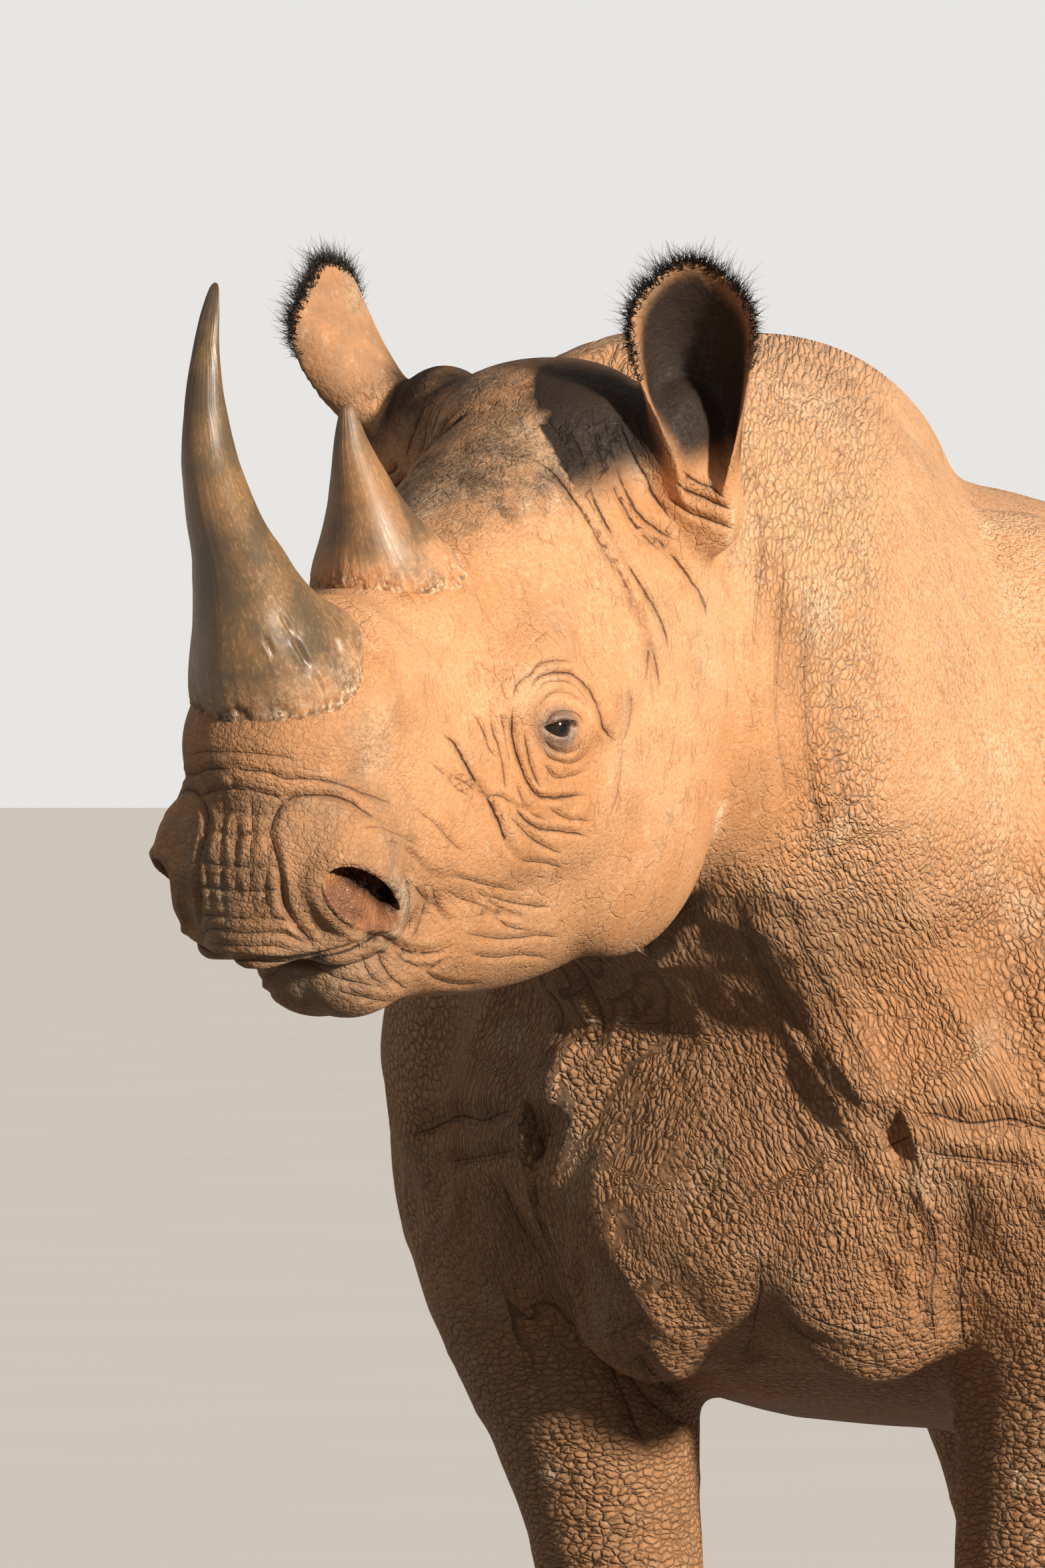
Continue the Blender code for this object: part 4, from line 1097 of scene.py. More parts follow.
class Finish:
    """A material under construction: short calls that add its nodes."""

    def __init__(self, name):
        self.material = bpy.data.materials.new(name)
        self.material.use_nodes = True
        self.nodes, self.links = self.material.node_tree.nodes, self.material.node_tree.links
        self.shader = self.nodes["Principled BSDF"]
        self.place = self.add("ShaderNodeTexCoord").outputs["Object"]

    def add(self, kind, **settings):
        node = self.nodes.new(kind)
        for key, value in settings.items():
            setattr(node, key, value)
        return node

    def feed(self, socket, value):
        if isinstance(value, bpy.types.NodeSocket):
            self.links.new(value, socket)
        elif socket.type == "RGBA":
            socket.default_value = (*value, 1.0) if len(value) == 3 else value
        else:
            socket.default_value = value

    def math(self, kind, a, b=None, c=None, clamp=False):
        node = self.add("ShaderNodeMath", operation=kind, use_clamp=clamp)
        for socket, value in zip(node.inputs, (a, b, c)):
            if value is not None:
                self.feed(socket, value)
        return node.outputs[0]

    def times(self, a, b, clamp=False):
        return self.math("MULTIPLY", a, b, clamp=clamp)

    def plus(self, a, b, clamp=False):
        return self.math("ADD", a, b, clamp=clamp)

    def minus(self, a, b):
        return self.math("SUBTRACT", a, b)

    def heaped(self, height, *layers):
        """The height with each layer put on it: a share and how high it stands, in metres."""
        for share, metres in layers:
            height = self.plus(height, self.times(share, metres))
        return height

    def ramp(self, value, low, high, to_low=0.0, to_high=1.0, smooth=True):
        node = self.add("ShaderNodeMapRange", interpolation_type="SMOOTHSTEP" if smooth else "LINEAR")
        for name, given in (("Value", value), ("From Min", low), ("From Max", high), ("To Min", to_low),
                            ("To Max", to_high)):
            self.feed(node.inputs[name], given)
        return node.outputs[0]

    def mix(self, share, a, b, how="MIX"):
        node = self.add("ShaderNodeMix", data_type="RGBA", blend_type=how)
        self.feed(node.inputs[0], share)
        self.feed(node.inputs[6], a)
        self.feed(node.inputs[7], b)
        return node.outputs[2]

    def coated(self, colour, *coats):
        """The colour under each coat in turn: a share and a tone."""
        for share, tone in coats:
            colour = self.mix(share, colour, tone)
        return colour

    def scaled(self, scale, source=None, turn=None):
        """The source turned by degrees about X, Y and Z, and then scaled."""
        source = self.place if source is None else source
        if turn is not None:
            turned = self.add("ShaderNodeMapping")
            self.feed(turned.inputs["Vector"], source)
            turned.inputs["Rotation"].default_value = [math.radians(angle) for angle in turn]
            source = turned.outputs[0]
        node = self.add("ShaderNodeMapping")
        self.feed(node.inputs["Vector"], source)
        node.inputs["Scale"].default_value = scale
        return node.outputs[0]

    def noise(self, scale, source=None, detail=2.0, rough=0.5, output="Fac"):
        node = self.add("ShaderNodeTexNoise")
        self.feed(node.inputs["Vector"], self.place if source is None else source)
        self.feed(node.inputs["Scale"], scale)
        self.feed(node.inputs["Detail"], detail)
        self.feed(node.inputs["Roughness"], rough)
        return node.outputs[output]

    def cells(self, scale, source=None, feature="F1", random=0.9):
        node = self.add("ShaderNodeTexVoronoi", feature=feature)
        self.feed(node.inputs["Vector"], self.place if source is None else source)
        self.feed(node.inputs["Scale"], scale)
        self.feed(node.inputs["Randomness"], random)
        return node.outputs["Distance"]

    def moved(self, source, amount, scale, detail=1.0):
        """The source coordinates pushed about by noise, by up to half of amount metres."""
        push = self.noise(scale, source, detail, output="Color")
        less = self.add("ShaderNodeVectorMath", operation="SUBTRACT")
        self.links.new(push, less.inputs[0])
        less.inputs[1].default_value = (0.5, 0.5, 0.5)
        more = self.add("ShaderNodeVectorMath", operation="MULTIPLY_ADD")
        self.links.new(less.outputs[0], more.inputs[0])
        more.inputs[1].default_value = (amount, amount, amount)
        self.links.new(source, more.inputs[2])
        return more.outputs[0]

    def vector(self, name):
        return self.add("ShaderNodeAttribute", attribute_name=name).outputs["Vector"]

    def split(self, name):
        """The four channels of a point attribute."""
        node = self.add("ShaderNodeAttribute", attribute_name=name)
        parts = self.add("ShaderNodeSeparateColor")
        self.links.new(node.outputs["Color"], parts.inputs[0])
        return [*parts.outputs[:3], node.outputs["Alpha"]]

    def bump(self, height, strength=1.0):
        """height is in metres."""
        node = self.add("ShaderNodeBump")
        self.feed(node.inputs["Height"], height)
        node.inputs["Distance"].default_value = 1.0
        node.inputs["Strength"].default_value = strength
        self.links.new(node.outputs[0], self.shader.inputs["Normal"])

    def finish(self, colour, roughness, specular=0.5):
        self.feed(self.shader.inputs["Base Color"], colour)
        self.feed(self.shader.inputs["Roughness"], roughness)
        self.shader.inputs["Specular IOR Level"].default_value = specular
        return self.material


OCHRE = (0.590, 0.262, 0.100)
PALE_OCHRE = (0.700, 0.355, 0.165)
EARTH = (0.400, 0.200, 0.088)
GREY_HIDE = (0.245, 0.160, 0.102)
CROWN_HIDE = (0.150, 0.092, 0.056)
THROAT_HIDE = (0.265, 0.150, 0.078)
# painted shade for fold hollows, wrinkles, cell ruts and the horn crust's ruts; also the tone of the crown's
# own dark patches
SHADE_AND_DARK_PATCH = (0.085, 0.042, 0.022)
# painted shade for the thin lines of the folds and the crown's cracks
CREASE_AND_CRACK_SHADE = (0.035, 0.022, 0.016)
DUST = (0.860, 0.660, 0.450)
# the ears' dark lining, with painted shade in their cups
EAR_LINING_AND_SHADE = (0.014, 0.008, 0.006)
LID_TONE = (0.205, 0.140, 0.112)
WET_TONE = (0.400, 0.170, 0.072)
WET_DARK = (0.220, 0.090, 0.042)
# painted shade deep inside the nostrils
NOSTRIL_SHADE = (0.006, 0.004, 0.003)


HIDE_CELLS = [  # coordinates, cells to a metre, turn in degrees, height in metres and how much painted shade darkens the ruts
    ("lie", (235, 95, 235), None, 0.0030, 1.0),
    ("place", (100, 100, 185), (0, 4, 0), 0.0036, 1.0),
    ("place", (170, 160, 112), (0, 26, 0), 0.0038, 1.0),
    ("place", (150, 150, 190), (0, -8, 0), 0.0008, 0.35),
]
CELL_DOME, RUT_DEPTH = 1.7, 0.30            # the dome's exponent, and the rut's share of the height
NET_CELLS = 165.0                           # to a metre, in the calm hide between the cells
WRINKLE_CELLS, CRACK_LUMPS = (74, 74, 25), (34, 34, 13)


@kept
def skin_finish():
    f = Finish("skin")
    # fold is the painted shade in the folds' hollows
    grey, throat, fold, dust = f.split("hide")
    shares = f.split("cells")
    # ear is the ears' dark lining with painted shade in their cups
    ear, wet, lid, calm = f.split("parts")
    # deep is the painted shade inside the nostrils
    crown, scar, deep, smooth = f.split("marks")
    line, strength, _, _ = f.split("folds")
    ways = {"place": f.moved(f.moved(f.place, 0.010, 55.0, 2.0), 0.0034, 190.0, 1.0),
            "lie": f.moved(f.moved(f.vector("lie"), 0.012, 40.0, 2.0), 0.0030, 190.0, 1.0)}
    place = ways["place"]
    patch = f.noise(5.0, detail=3.0, rough=0.65)
    mottle = f.noise(38.0, detail=3.0, rough=0.65)
    speck = f.noise(260.0, detail=2.0, rough=0.65)
    grit = f.noise(1100.0, detail=1.0, rough=0.6)
    dry = f.minus(1.0, wet)

    total, valley = None, None
    for share, (way, scale, turn, height, dark) in zip(shares, HIDE_CELLS):
        cell = f.scaled(scale, ways[way], turn)
        dome = f.math("POWER", f.cells(1.0, cell, "F1", 0.85), CELL_DOME)
        edge = f.cells(1.0, cell, "DISTANCE_TO_EDGE", 0.85)
        rut = f.times(f.ramp(edge, 0.0, 0.20, 1.0, 0.0), share)
        shape = f.heaped(f.times(f.times(dome, share), -height), (rut, -RUT_DEPTH * height))
        total = shape if total is None else f.plus(total, shape)
        # the ruts between cells are darkened with painted shade
        low = f.times(f.times(rut, rut), dark)
        valley = low if valley is None else f.math("MAXIMUM", valley, low)
    total = f.times(total, dry)

    wobble = f.plus(f.times(f.noise(85.0, detail=2.0), 2.6), f.times(f.noise(420.0), 0.9))
    off_line = f.math("MULTIPLY_ADD", line, 2 * FOLD_REACH, -FOLD_REACH - 1.75)
    off_line = f.math("ABSOLUTE", f.plus(off_line, wobble))
    line_width = f.math("MULTIPLY_ADD", strength, 0.9, 0.6)
    crease_line = f.times(f.ramp(off_line, 0.0, line_width, 1.0, 0.0), strength)
    crease_side = f.times(f.ramp(off_line, 0.0, 3.4, 1.0, 0.0), strength)

    net_gap = f.cells(NET_CELLS, place, "DISTANCE_TO_EDGE", 1.0)
    net_share = f.times(calm, f.ramp(patch, 0.30, 0.60, 0.35, 1.0))
    net_share = f.times(net_share, f.math("MULTIPLY_ADD", smooth, -0.65, 1.0))
    net_rise = f.times(f.ramp(net_gap, 0.0, 0.26), net_share)
    net_low = f.times(f.ramp(net_gap, 0.01, 0.09, 1.0, 0.0), net_share)
    wrinkle = f.cells(1.0, f.scaled(WRINKLE_CELLS, place, (0, 14, 0)), "DISTANCE_TO_EDGE", 1.0)
    wrinkle_share = f.times(calm, f.ramp(mottle, 0.38, 0.62))
    wrinkle = f.times(f.ramp(wrinkle, 0.0, 0.06, 1.0, 0.0), wrinkle_share)
    crack = f.math("ABSOLUTE", f.minus(f.noise(1.0, f.scaled(CRACK_LUMPS, place), 3.0, 0.55), 0.5))
    crack_low = f.times(f.ramp(crack, 0.002, 0.012, 1.0, 0.0), crown)
    stipple = f.times(f.times(shares[3], dry), f.noise(620.0, detail=1.0))
    f.bump(f.heaped(total, (crease_line, -0.0014), (crease_side, -0.0007), (net_rise, 0.0008),
                    (wrinkle, -0.0006), (crack_low, -0.0008), (mottle, 0.0018), (speck, 0.0008),
                    (grit, 0.00022), (stipple, 0.0009), (f.times(wet, mottle), 0.0060),
                    (f.times(wet, speck), 0.0026)))

    greyness = f.times(grey, f.ramp(mottle, 0.32, 0.60, 0.45, 1.0), clamp=True)
    pale = f.ramp(f.noise(95.0, place, 3.0, 0.7), 0.56, 0.72)
    dark_patch = f.times(crown, f.ramp(f.noise(26.0, place, 4.0, 0.7), 0.52, 0.64))
    colour = f.coated(
        f.mix(f.ramp(patch, 0.35, 0.68), OCHRE, PALE_OCHRE),
        (f.ramp(f.noise(15.0, detail=2.0), 0.48, 0.72, 0.0, 0.42), EARTH),
        (f.ramp(mottle, 0.50, 0.75, 0.0, 0.50), EARTH),
        (greyness, f.mix(crown, GREY_HIDE, CROWN_HIDE)),
        (f.times(throat, f.ramp(mottle, 0.25, 0.60, 1.0, 0.6)), THROAT_HIDE),
        (f.ramp(speck, 0.38, 0.66, 0.0, 0.30), EARTH),
        # painted shade in the wrinkles' lines
        (f.times(wrinkle, 0.13), SHADE_AND_DARK_PATCH),
        (f.times(net_low, f.math("MULTIPLY_ADD", smooth, -0.28, 0.28)), EARTH),
        (f.times(net_low, f.times(smooth, 0.55)), DUST),
        (f.times(pale, 0.22), DUST),
        # painted shade in the ruts between cells
        (f.times(valley, f.ramp(mottle, 0.30, 0.65, 0.25, 0.60)), SHADE_AND_DARK_PATCH),
        # painted shade in the folds' hollows
        (f.times(fold, 0.35), SHADE_AND_DARK_PATCH),
        # painted shade along the folds' lines
        (f.times(crease_line, 0.90), CREASE_AND_CRACK_SHADE),
        (f.times(dark_patch, 0.60), SHADE_AND_DARK_PATCH),
        # painted shade in the crown's cracks
        (f.times(crack_low, 0.14), CREASE_AND_CRACK_SHADE),
        # the scar channel also holds the lower lids' wet rims, so this also paints a pale sheen there
        (f.times(f.math("MAXIMUM", dust, scar), f.ramp(speck, 0.36, 0.58)), DUST),
        (f.times(lid, f.ramp(speck, 0.25, 0.60, 1.0, 0.75)), LID_TONE),
        (wet, f.mix(f.ramp(mottle, 0.35, 0.65), WET_TONE, WET_DARK)),
        # the ears' dark lining and the painted shade in their cups
        (ear, EAR_LINING_AND_SHADE),
        # painted shade deep in the nostrils
        (deep, NOSTRIL_SHADE))
    rough = f.heaped(f.ramp(speck, 0.3, 0.7, 0.60, 0.84), (wet, -0.50), (lid, -0.25))
    return f.finish(colour, rough, 0.35)


HORN_OLIVE = (0.120, 0.075, 0.036)
HORN_BROWN = (0.240, 0.128, 0.050)
HORN_DARK = (0.070, 0.046, 0.027)
HORN_GOLD = (0.560, 0.350, 0.140)
CRUST_PALE = (0.640, 0.480, 0.310)


@kept
def horn_finish(which):
    f = Finish(f"horn_{which}")
    front = which == "front"
    rim, low, crust, _ = f.split("horn")
    grain = f.vector("grain")
    streak = f.noise(1.0, f.scaled((420, 420, 10), grain), 3.0, 0.6)
    fleck = f.noise(1.0, f.scaled((420, 420, 190), grain), 3.0, 0.65)
    fibre = f.noise(1.0, f.scaled((900, 900, 30), grain), 2.0, 0.6)
    patch = f.noise(22.0, detail=3.0, rough=0.6)
    gold = f.times(f.ramp(fleck, 0.50, 0.70), f.ramp(patch, 0.30, 0.60))
    if front:
        dusty = f.times(low, f.ramp(patch, 0.30, 0.62, 0.10, 0.55))
    else:
        dusty = f.times(f.ramp(patch, 0.35, 0.60, 0.15, 0.75), f.plus(low, 0.35), clamp=True)
    flake = f.math("MAXIMUM", rim, f.times(low, 0.45))
    flake = f.times(flake, f.ramp(f.noise(170.0, detail=4.0, rough=0.75), 0.44, 0.62))
    colour = f.coated(
        f.mix(f.ramp(patch, 0.36, 0.64), HORN_OLIVE, HORN_BROWN),
        (f.ramp(streak, 0.50, 0.74, 0.0, 0.40), HORN_DARK),
        (f.times(gold, 0.50 if front else 0.60), HORN_GOLD),
        (dusty, OCHRE),
        (flake, CRUST_PALE),
        # painted shade in the ruts of the crust round the horn's root
        (f.times(rim, f.ramp(crust, 0.78, 1.0, 0.0, 0.7)), SHADE_AND_DARK_PATCH))
    fleck_rise = f.times(fleck, f.math("MULTIPLY_ADD", low, 0.0012, 0.00008))
    f.bump(f.plus(f.heaped(f.times(streak, 0.00016), (fibre, 0.00004)), fleck_rise))
    rough = f.plus(f.ramp(fleck, 0.35, 0.65, 0.33, 0.46), f.times(low, 0.22 if front else 0.30), clamp=True)
    rough = f.plus(rough, 0.0 if front else 0.10)
    rough = f.plus(rough, f.times(rim, 0.30), clamp=True)
    return f.finish(colour, rough, 0.85)


IRIS_DARK, IRIS_BROWN = (0.011, 0.005, 0.003), (0.030, 0.013, 0.007)
EYE_RIM_DARK, EYE_WHITE, PUPIL_BLACK = (0.006, 0.004, 0.003), (0.085, 0.034, 0.024), (0.002, 0.002, 0.002)
PUPIL_HALF = (0.26, 0.20)                   # across and up, in eye radii


@kept
def eye_finish(side):
    f = Finish(f"eye_{side}")
    parts = f.add("ShaderNodeSeparateXYZ")
    f.links.new(f.vector("gaze"), parts.inputs[0])
    across, up, _ = parts.outputs
    flat = f.math("SQRT", f.plus(f.times(across, across), f.times(up, up)))
    pupil = f.plus(f.math("POWER", f.math("DIVIDE", across, PUPIL_HALF[0]), 2.0),
                   f.math("POWER", f.math("DIVIDE", up, PUPIL_HALF[1]), 2.0))
    ray = f.math("ARCTAN2", up, across)
    spoke = f.add("ShaderNodeCombineXYZ")
    for socket, part in zip(spoke.inputs, (f.times(f.math("COSINE", ray), 6.0),
                                           f.times(f.math("SINE", ray), 6.0), f.times(flat, 1.5))):
        f.feed(socket, part)
    fibre = f.noise(1.6, spoke.outputs[0], 3.0, 0.6)
    colour = f.coated(
        f.mix(f.ramp(fibre, 0.35, 0.65), IRIS_DARK, IRIS_BROWN),
        (f.ramp(flat, 0.52, 0.66), EYE_RIM_DARK),
        (f.ramp(flat, 0.74, 0.90), EYE_WHITE))
    colour = f.mix(f.ramp(pupil, 0.8, 1.15), PUPIL_BLACK, colour)
    f.shader.inputs["Coat Weight"].default_value = 0.25
    f.shader.inputs["Coat Roughness"].default_value = 0.04
    return f.finish(colour, 0.14, 0.25)


NAIL_GREY, NAIL_BROWN, NAIL_DARK, NAIL_PALE = ((0.150, 0.115, 0.085), (0.240, 0.170, 0.110),
                                               (0.075, 0.055, 0.040), (0.420, 0.280, 0.160))
HAIR_BLACK, HAIR_BROWN = (0.008, 0.006, 0.005), (0.035, 0.024, 0.017)


@kept
def nail_finish():
    f = Finish("nail")
    band = f.noise(1.0, f.scaled((30, 30, 260)), 3.0, 0.6)
    fibre = f.noise(1.0, f.scaled((420, 420, 30)), 2.0, 0.6)
    patch = f.noise(35.0, detail=3.0)
    colour = f.coated(
        f.mix(f.ramp(patch, 0.35, 0.65), NAIL_GREY, NAIL_BROWN),
        (f.ramp(band, 0.52, 0.72, 0.0, 0.6), NAIL_DARK),
        (f.ramp(fibre, 0.55, 0.75, 0.0, 0.4), NAIL_PALE))
    f.bump(f.heaped(f.times(band, 0.0008), (fibre, 0.0003)))
    return f.finish(colour, 0.55, 0.4)


@kept
def hair_finish():
    f = Finish("hair")
    tint = f.ramp(f.noise(160.0, detail=2.0), 0.35, 0.70)
    return f.finish(f.mix(tint, HAIR_BLACK, HAIR_BROWN), 0.42, 0.5)


SCAR_DEPTH = 2.5
SCARS = [  # width, then a line as for the folds
    (3.0, (113, -190), (108, -205), (103, -223)),
    (2.2, (53, -202), (46, -219)),
    (2.0, (43, -231), (39, -249)),
    (2.4, (-24, 60), (-28, 40), (-26, 22)),
    (2.0, (-48, 58), (-46, 30)),
    (1.8, (120, 60), (118, 30), (112, 10)),
    (2.6, (296, -155), (303, -172), (309, -187)),
    (1.8, (330, -215), (338, -228)),
    (6.0, (-81, -629), (-74, -650), (-68, -680)),
    (4.0, (341, -738), (360, -742), (380, -751)),
    (2.0, (-12, -372), (20, -372), (50, -376)),
]


LIE_PATH = [(128, 220), (132, 100), (134, 0), (131, -100), (131, -220), (147, -275), (186, -348),
            (228, -438), (247, -475), (262, -560), (275, -640), (285, -760)]
LIE_REACH = (0.085, 0.150)                  # from the path, where the columns of cells fade out


def lie_of_hide(flat):
    """Coordinates along the neck's folds: across them, down them and 0, in metres."""
    gap, along, side = path_place(flat, curved(LIE_PATH))
    return np.stack([gap * side * MM, along * MM, np.zeros(len(flat))], axis=1)


def on_head(local):
    """1 on the head and 0 off it, for points in head axes."""
    return smoothstep(local[:, 0], -0.12, 0.00) * (local[:, 2] > -0.34)


def near_side(co, normal):
    """Points, those of the far side mirrored to the near one, and how squarely they face the eye point."""
    own = toward_eye_point(co, normal)
    mirrored, turned = co * (-1, 1, 1), normal * (-1, 1, 1)
    other = toward_eye_point(mirrored, turned)
    far = (co[:, 0] < 0) & (other > own)
    return np.where(far[:, None], mirrored, co), np.where(far, other, own)


def mark_ear_lining_and_shade(co, normal, patchy, sheets):
    """Where the ears' cups are painted dark, 0 to 1: their dark lining and painted shade in the hollow, kept
    back from the front rim that takes the light.
    """
    cup, front_rim = np.zeros(len(co)), np.zeros(len(co))
    rims = KDTree(sum(len(sheet.data.vertices) for sheet in sheets.values()))
    for sheet in sheets.values():
        for edge in sheet_rim(sheet):
            rims.insert(edge, 0)
    rims.balance()
    for side, s in SIDES.items():
        angle = math.radians(EAR_FACING[side])
        level = Matrix.Diagonal((1, s, 1)) @ Vector((math.cos(angle), math.sin(angle), 0.0))
        facing_way = np.array(HEAD.to_3x3() @ level)
        mine = ear_share(co, 0.000, 0.030) * ((in_head(co)[:, 1] * s) > 0)
        cup = np.maximum(cup, mine * smoothstep(normal @ facing_way, -0.25, 0.15))
        fore = np.cross(facing_way, (0, 0, s))
        middle = co[mine > 0.5].mean(0)
        front_rim = np.where(mine > 0, smoothstep((co - middle) @ fore, 0.0, 0.05), front_rim)
    chosen = np.nonzero(cup > 0)[0]
    from_rim = np.zeros(len(co))
    from_rim[chosen] = [rims.find(Vector(co[k]))[2] for k in chosen]
    # on the front edge the painted dark starts further from the rim, which takes the light
    return cup * smoothstep(from_rim + 0.006 * patchy - 0.012 * front_rim, 0.006, 0.022)


def mark_cells(co, near_facing, lie, local, jowl):
    """Where the hide's cells run in columns, in bands, as cobbles and in blocks, and where it is calm."""
    body = co - np.array(SHIFT)
    ears = ear_share(co)
    long_nose = local[:, 0] - 0.35 * local[:, 2]
    front = 1 - smoothstep(body[:, 1], -0.72, -0.50)
    legs = 1 - smoothstep(co[:, 2], 0.60, 0.80)
    columns = (1 - smoothstep(np.abs(lie[:, 0]), *LIE_REACH)) * smoothstep(near_facing, -0.35, 0.0)
    columns *= (1 - smoothstep(body[:, 1], -0.62, -0.50)) * smoothstep(co[:, 2], 0.60, 0.72)
    columns *= 1 - smoothstep(local[:, 0], -0.05, 0.02) * smoothstep(local[:, 2], -0.30, -0.24)
    columns *= 1 - ears
    chest = front * (1 - smoothstep(co[:, 2], 0.98, 1.16)) * (1 - legs)
    neck = 1 - smoothstep(local[:, 0], -0.07, 0.03)
    head_cover = smoothstep(local[:, 0], -0.06, 0.04) * smoothstep(local[:, 2], -0.30, -0.24)
    cobbles = np.clip(chest + 0.9 * jowl * neck, 0, 1) * (1 - head_cover) * (1 - columns)
    belly = (1 - smoothstep(co[:, 2], 0.60, 0.85)) * (1 - legs)
    cobbles = np.clip(cobbles + 0.45 * belly, 0, 1)
    blocks = on_head(local) * smoothstep(long_nose, 0.40, 0.52)
    calm = np.clip(1 - columns - legs - cobbles - blocks, 0, 1) * (1 - 0.85 * ears)
    return columns, legs, cobbles, blocks, calm


def mark_hide(skin, sheets):
    """Where the hide is grey, dusty or wet, where painted shade darkens its folds, nostrils and ears' cups,
    where a painted sheen lies on the lower lids, and which way its cells run.
    """
    co, normal = points_of(skin.data), normals_of(skin.data)
    left, left_normal, local = half_head(co, normal)
    flat = seen(left)
    head, ears = on_head(local), ear_share(co)
    facing = smoothstep(toward_eye_point(left, left_normal), *FACING) * head * (1 - ears)
    near, near_facing = near_side(co, normal)
    near_flat = seen(near)
    near_gate = smoothstep(near_facing, *FACING)
    off_head = behind_head(local)
    _, face_fold_shade = crease(flat, facing, FACE_LINES)
    _, body_fold_shade = crease(near_flat, near_gate * off_head, BODY_FOLDS)
    # hollow is the painted shade in the folds' hollows
    hollow = np.maximum(face_fold_shade, 0.7 * body_fold_shade)
    inside, rise = nostril(flat)
    inside = np.where(local[:, 0] > 0.45, inside, -1) * (facing > 0)
    patchy = soft_noise(co, 0.06, 5) * 0.5 + soft_noise(co, 0.025, 6) * 0.3

    top = smoothstep(local[:, 2] - 0.25 * np.abs(local[:, 1]), 0.06, 0.13)
    crown = top * smoothstep(local[:, 0], -0.10, -0.02) * (1 - smoothstep(local[:, 0], 0.20, 0.32))
    crown *= 1 - ears
    muzzle = smoothstep(local[:, 0] - 0.35 * local[:, 2], 0.47, 0.60)
    grey = crown * (0.95 + 0.5 * patchy) + muzzle * (0.62 + 0.6 * patchy) + 0.25 * patchy + 0.60 * ears
    under = smoothstep(-local[:, 2], 0.235, 0.29) * smoothstep(local[:, 0], -0.20, -0.05)
    jowl = under * (co[:, 2] > 0.80) * (1 - muzzle)
    low = 1 - smoothstep(co[:, 2], 0.55, 0.95)
    front = 1 - smoothstep(co[:, 1] - SHIFT.y, -0.72, -0.50)
    throat = (jowl * 0.9 * (1 - smoothstep(near_flat[:, 1], -300, -240)) + 0.50 * low
              + 0.45 * front * (1 - smoothstep(co[:, 2], 0.95, 1.12)))
    pale = 0.28 * smoothstep(patchy, 0.10, 0.55) + 0.30 * smoothstep(co[:, 2], 0.90, 1.15) * (1 - head)
    # hide holds grey, throat, the painted shade in the folds' hollows, and pale dust
    note(skin.data, "hide", grey, throat, hollow, pale)

    lie = lie_of_hide(near_flat)
    tag(skin.data, "lie", lie)
    *cells, calm = mark_cells(co, near_facing, lie, local, jowl)
    note(skin.data, "cells", *cells)

    place = (local - np.array(EYE_AT)) @ eye_axes().T
    from_eye = np.hypot(place[:, 0] * 0.86, place[:, 1] + 0.0015) + 0.0022 * patchy
    lid = (1 - smoothstep(from_eye, 0.0105, 0.0260)) * (place[:, 2] > 0)
    # a pale line just inside the lower lid's rim: a painted sheen of the wet rim
    tear_sheen = bell(lid_gap(place) + 0.0004, 0.0007) * (place[:, 1] < 0) * (place[:, 2] > 0)
    wet = smoothstep(inside, -0.02, 0.12)
    # the first channel is the ears' dark lining with painted shade in the cups
    note(skin.data, "parts", 0.97 * mark_ear_lining_and_shade(co, normal, patchy, sheets), wet, lid, calm)
    _, scar = crease(near_flat, near_gate, [(SCAR_DEPTH, *line) for line in SCARS])
    # painted shade in the deep upper part of each nostril
    deep = smoothstep(inside, 0.06, 0.24) * smoothstep(rise, 0.52, 0.74)
    note(skin.data, "marks", crown, np.maximum(0.75 * scar, tear_sheen), deep, calm * head * (1 - ears))

    face_line, face_strength = fold_lines(flat, facing * (1 - wet), FACE_LINES)
    body_line, body_strength = fold_lines(near_flat, near_gate * off_head, BODY_FOLDS)
    side_line, side_strength = fold_lines(co[:, 1:] / MM, side_gate(normal, local), SIDE_FOLDS)
    body_line = np.where(side_strength > body_strength, side_line, body_line)
    body_strength = np.maximum(body_strength, 0.7 * side_strength)
    on_face = face_strength >= body_strength
    note(skin.data, "folds", np.where(on_face, face_line, body_line),
         np.where(on_face, face_strength, body_strength))


def sheet_rim(sheet):
    """The middles of an ear sheet's open edges."""
    bm = bmesh.new()
    bm.from_mesh(sheet.data)
    middles = [(edge.verts[0].co + edge.verts[1].co) / 2 for edge in bm.edges if edge.is_boundary]
    bm.free()
    return middles


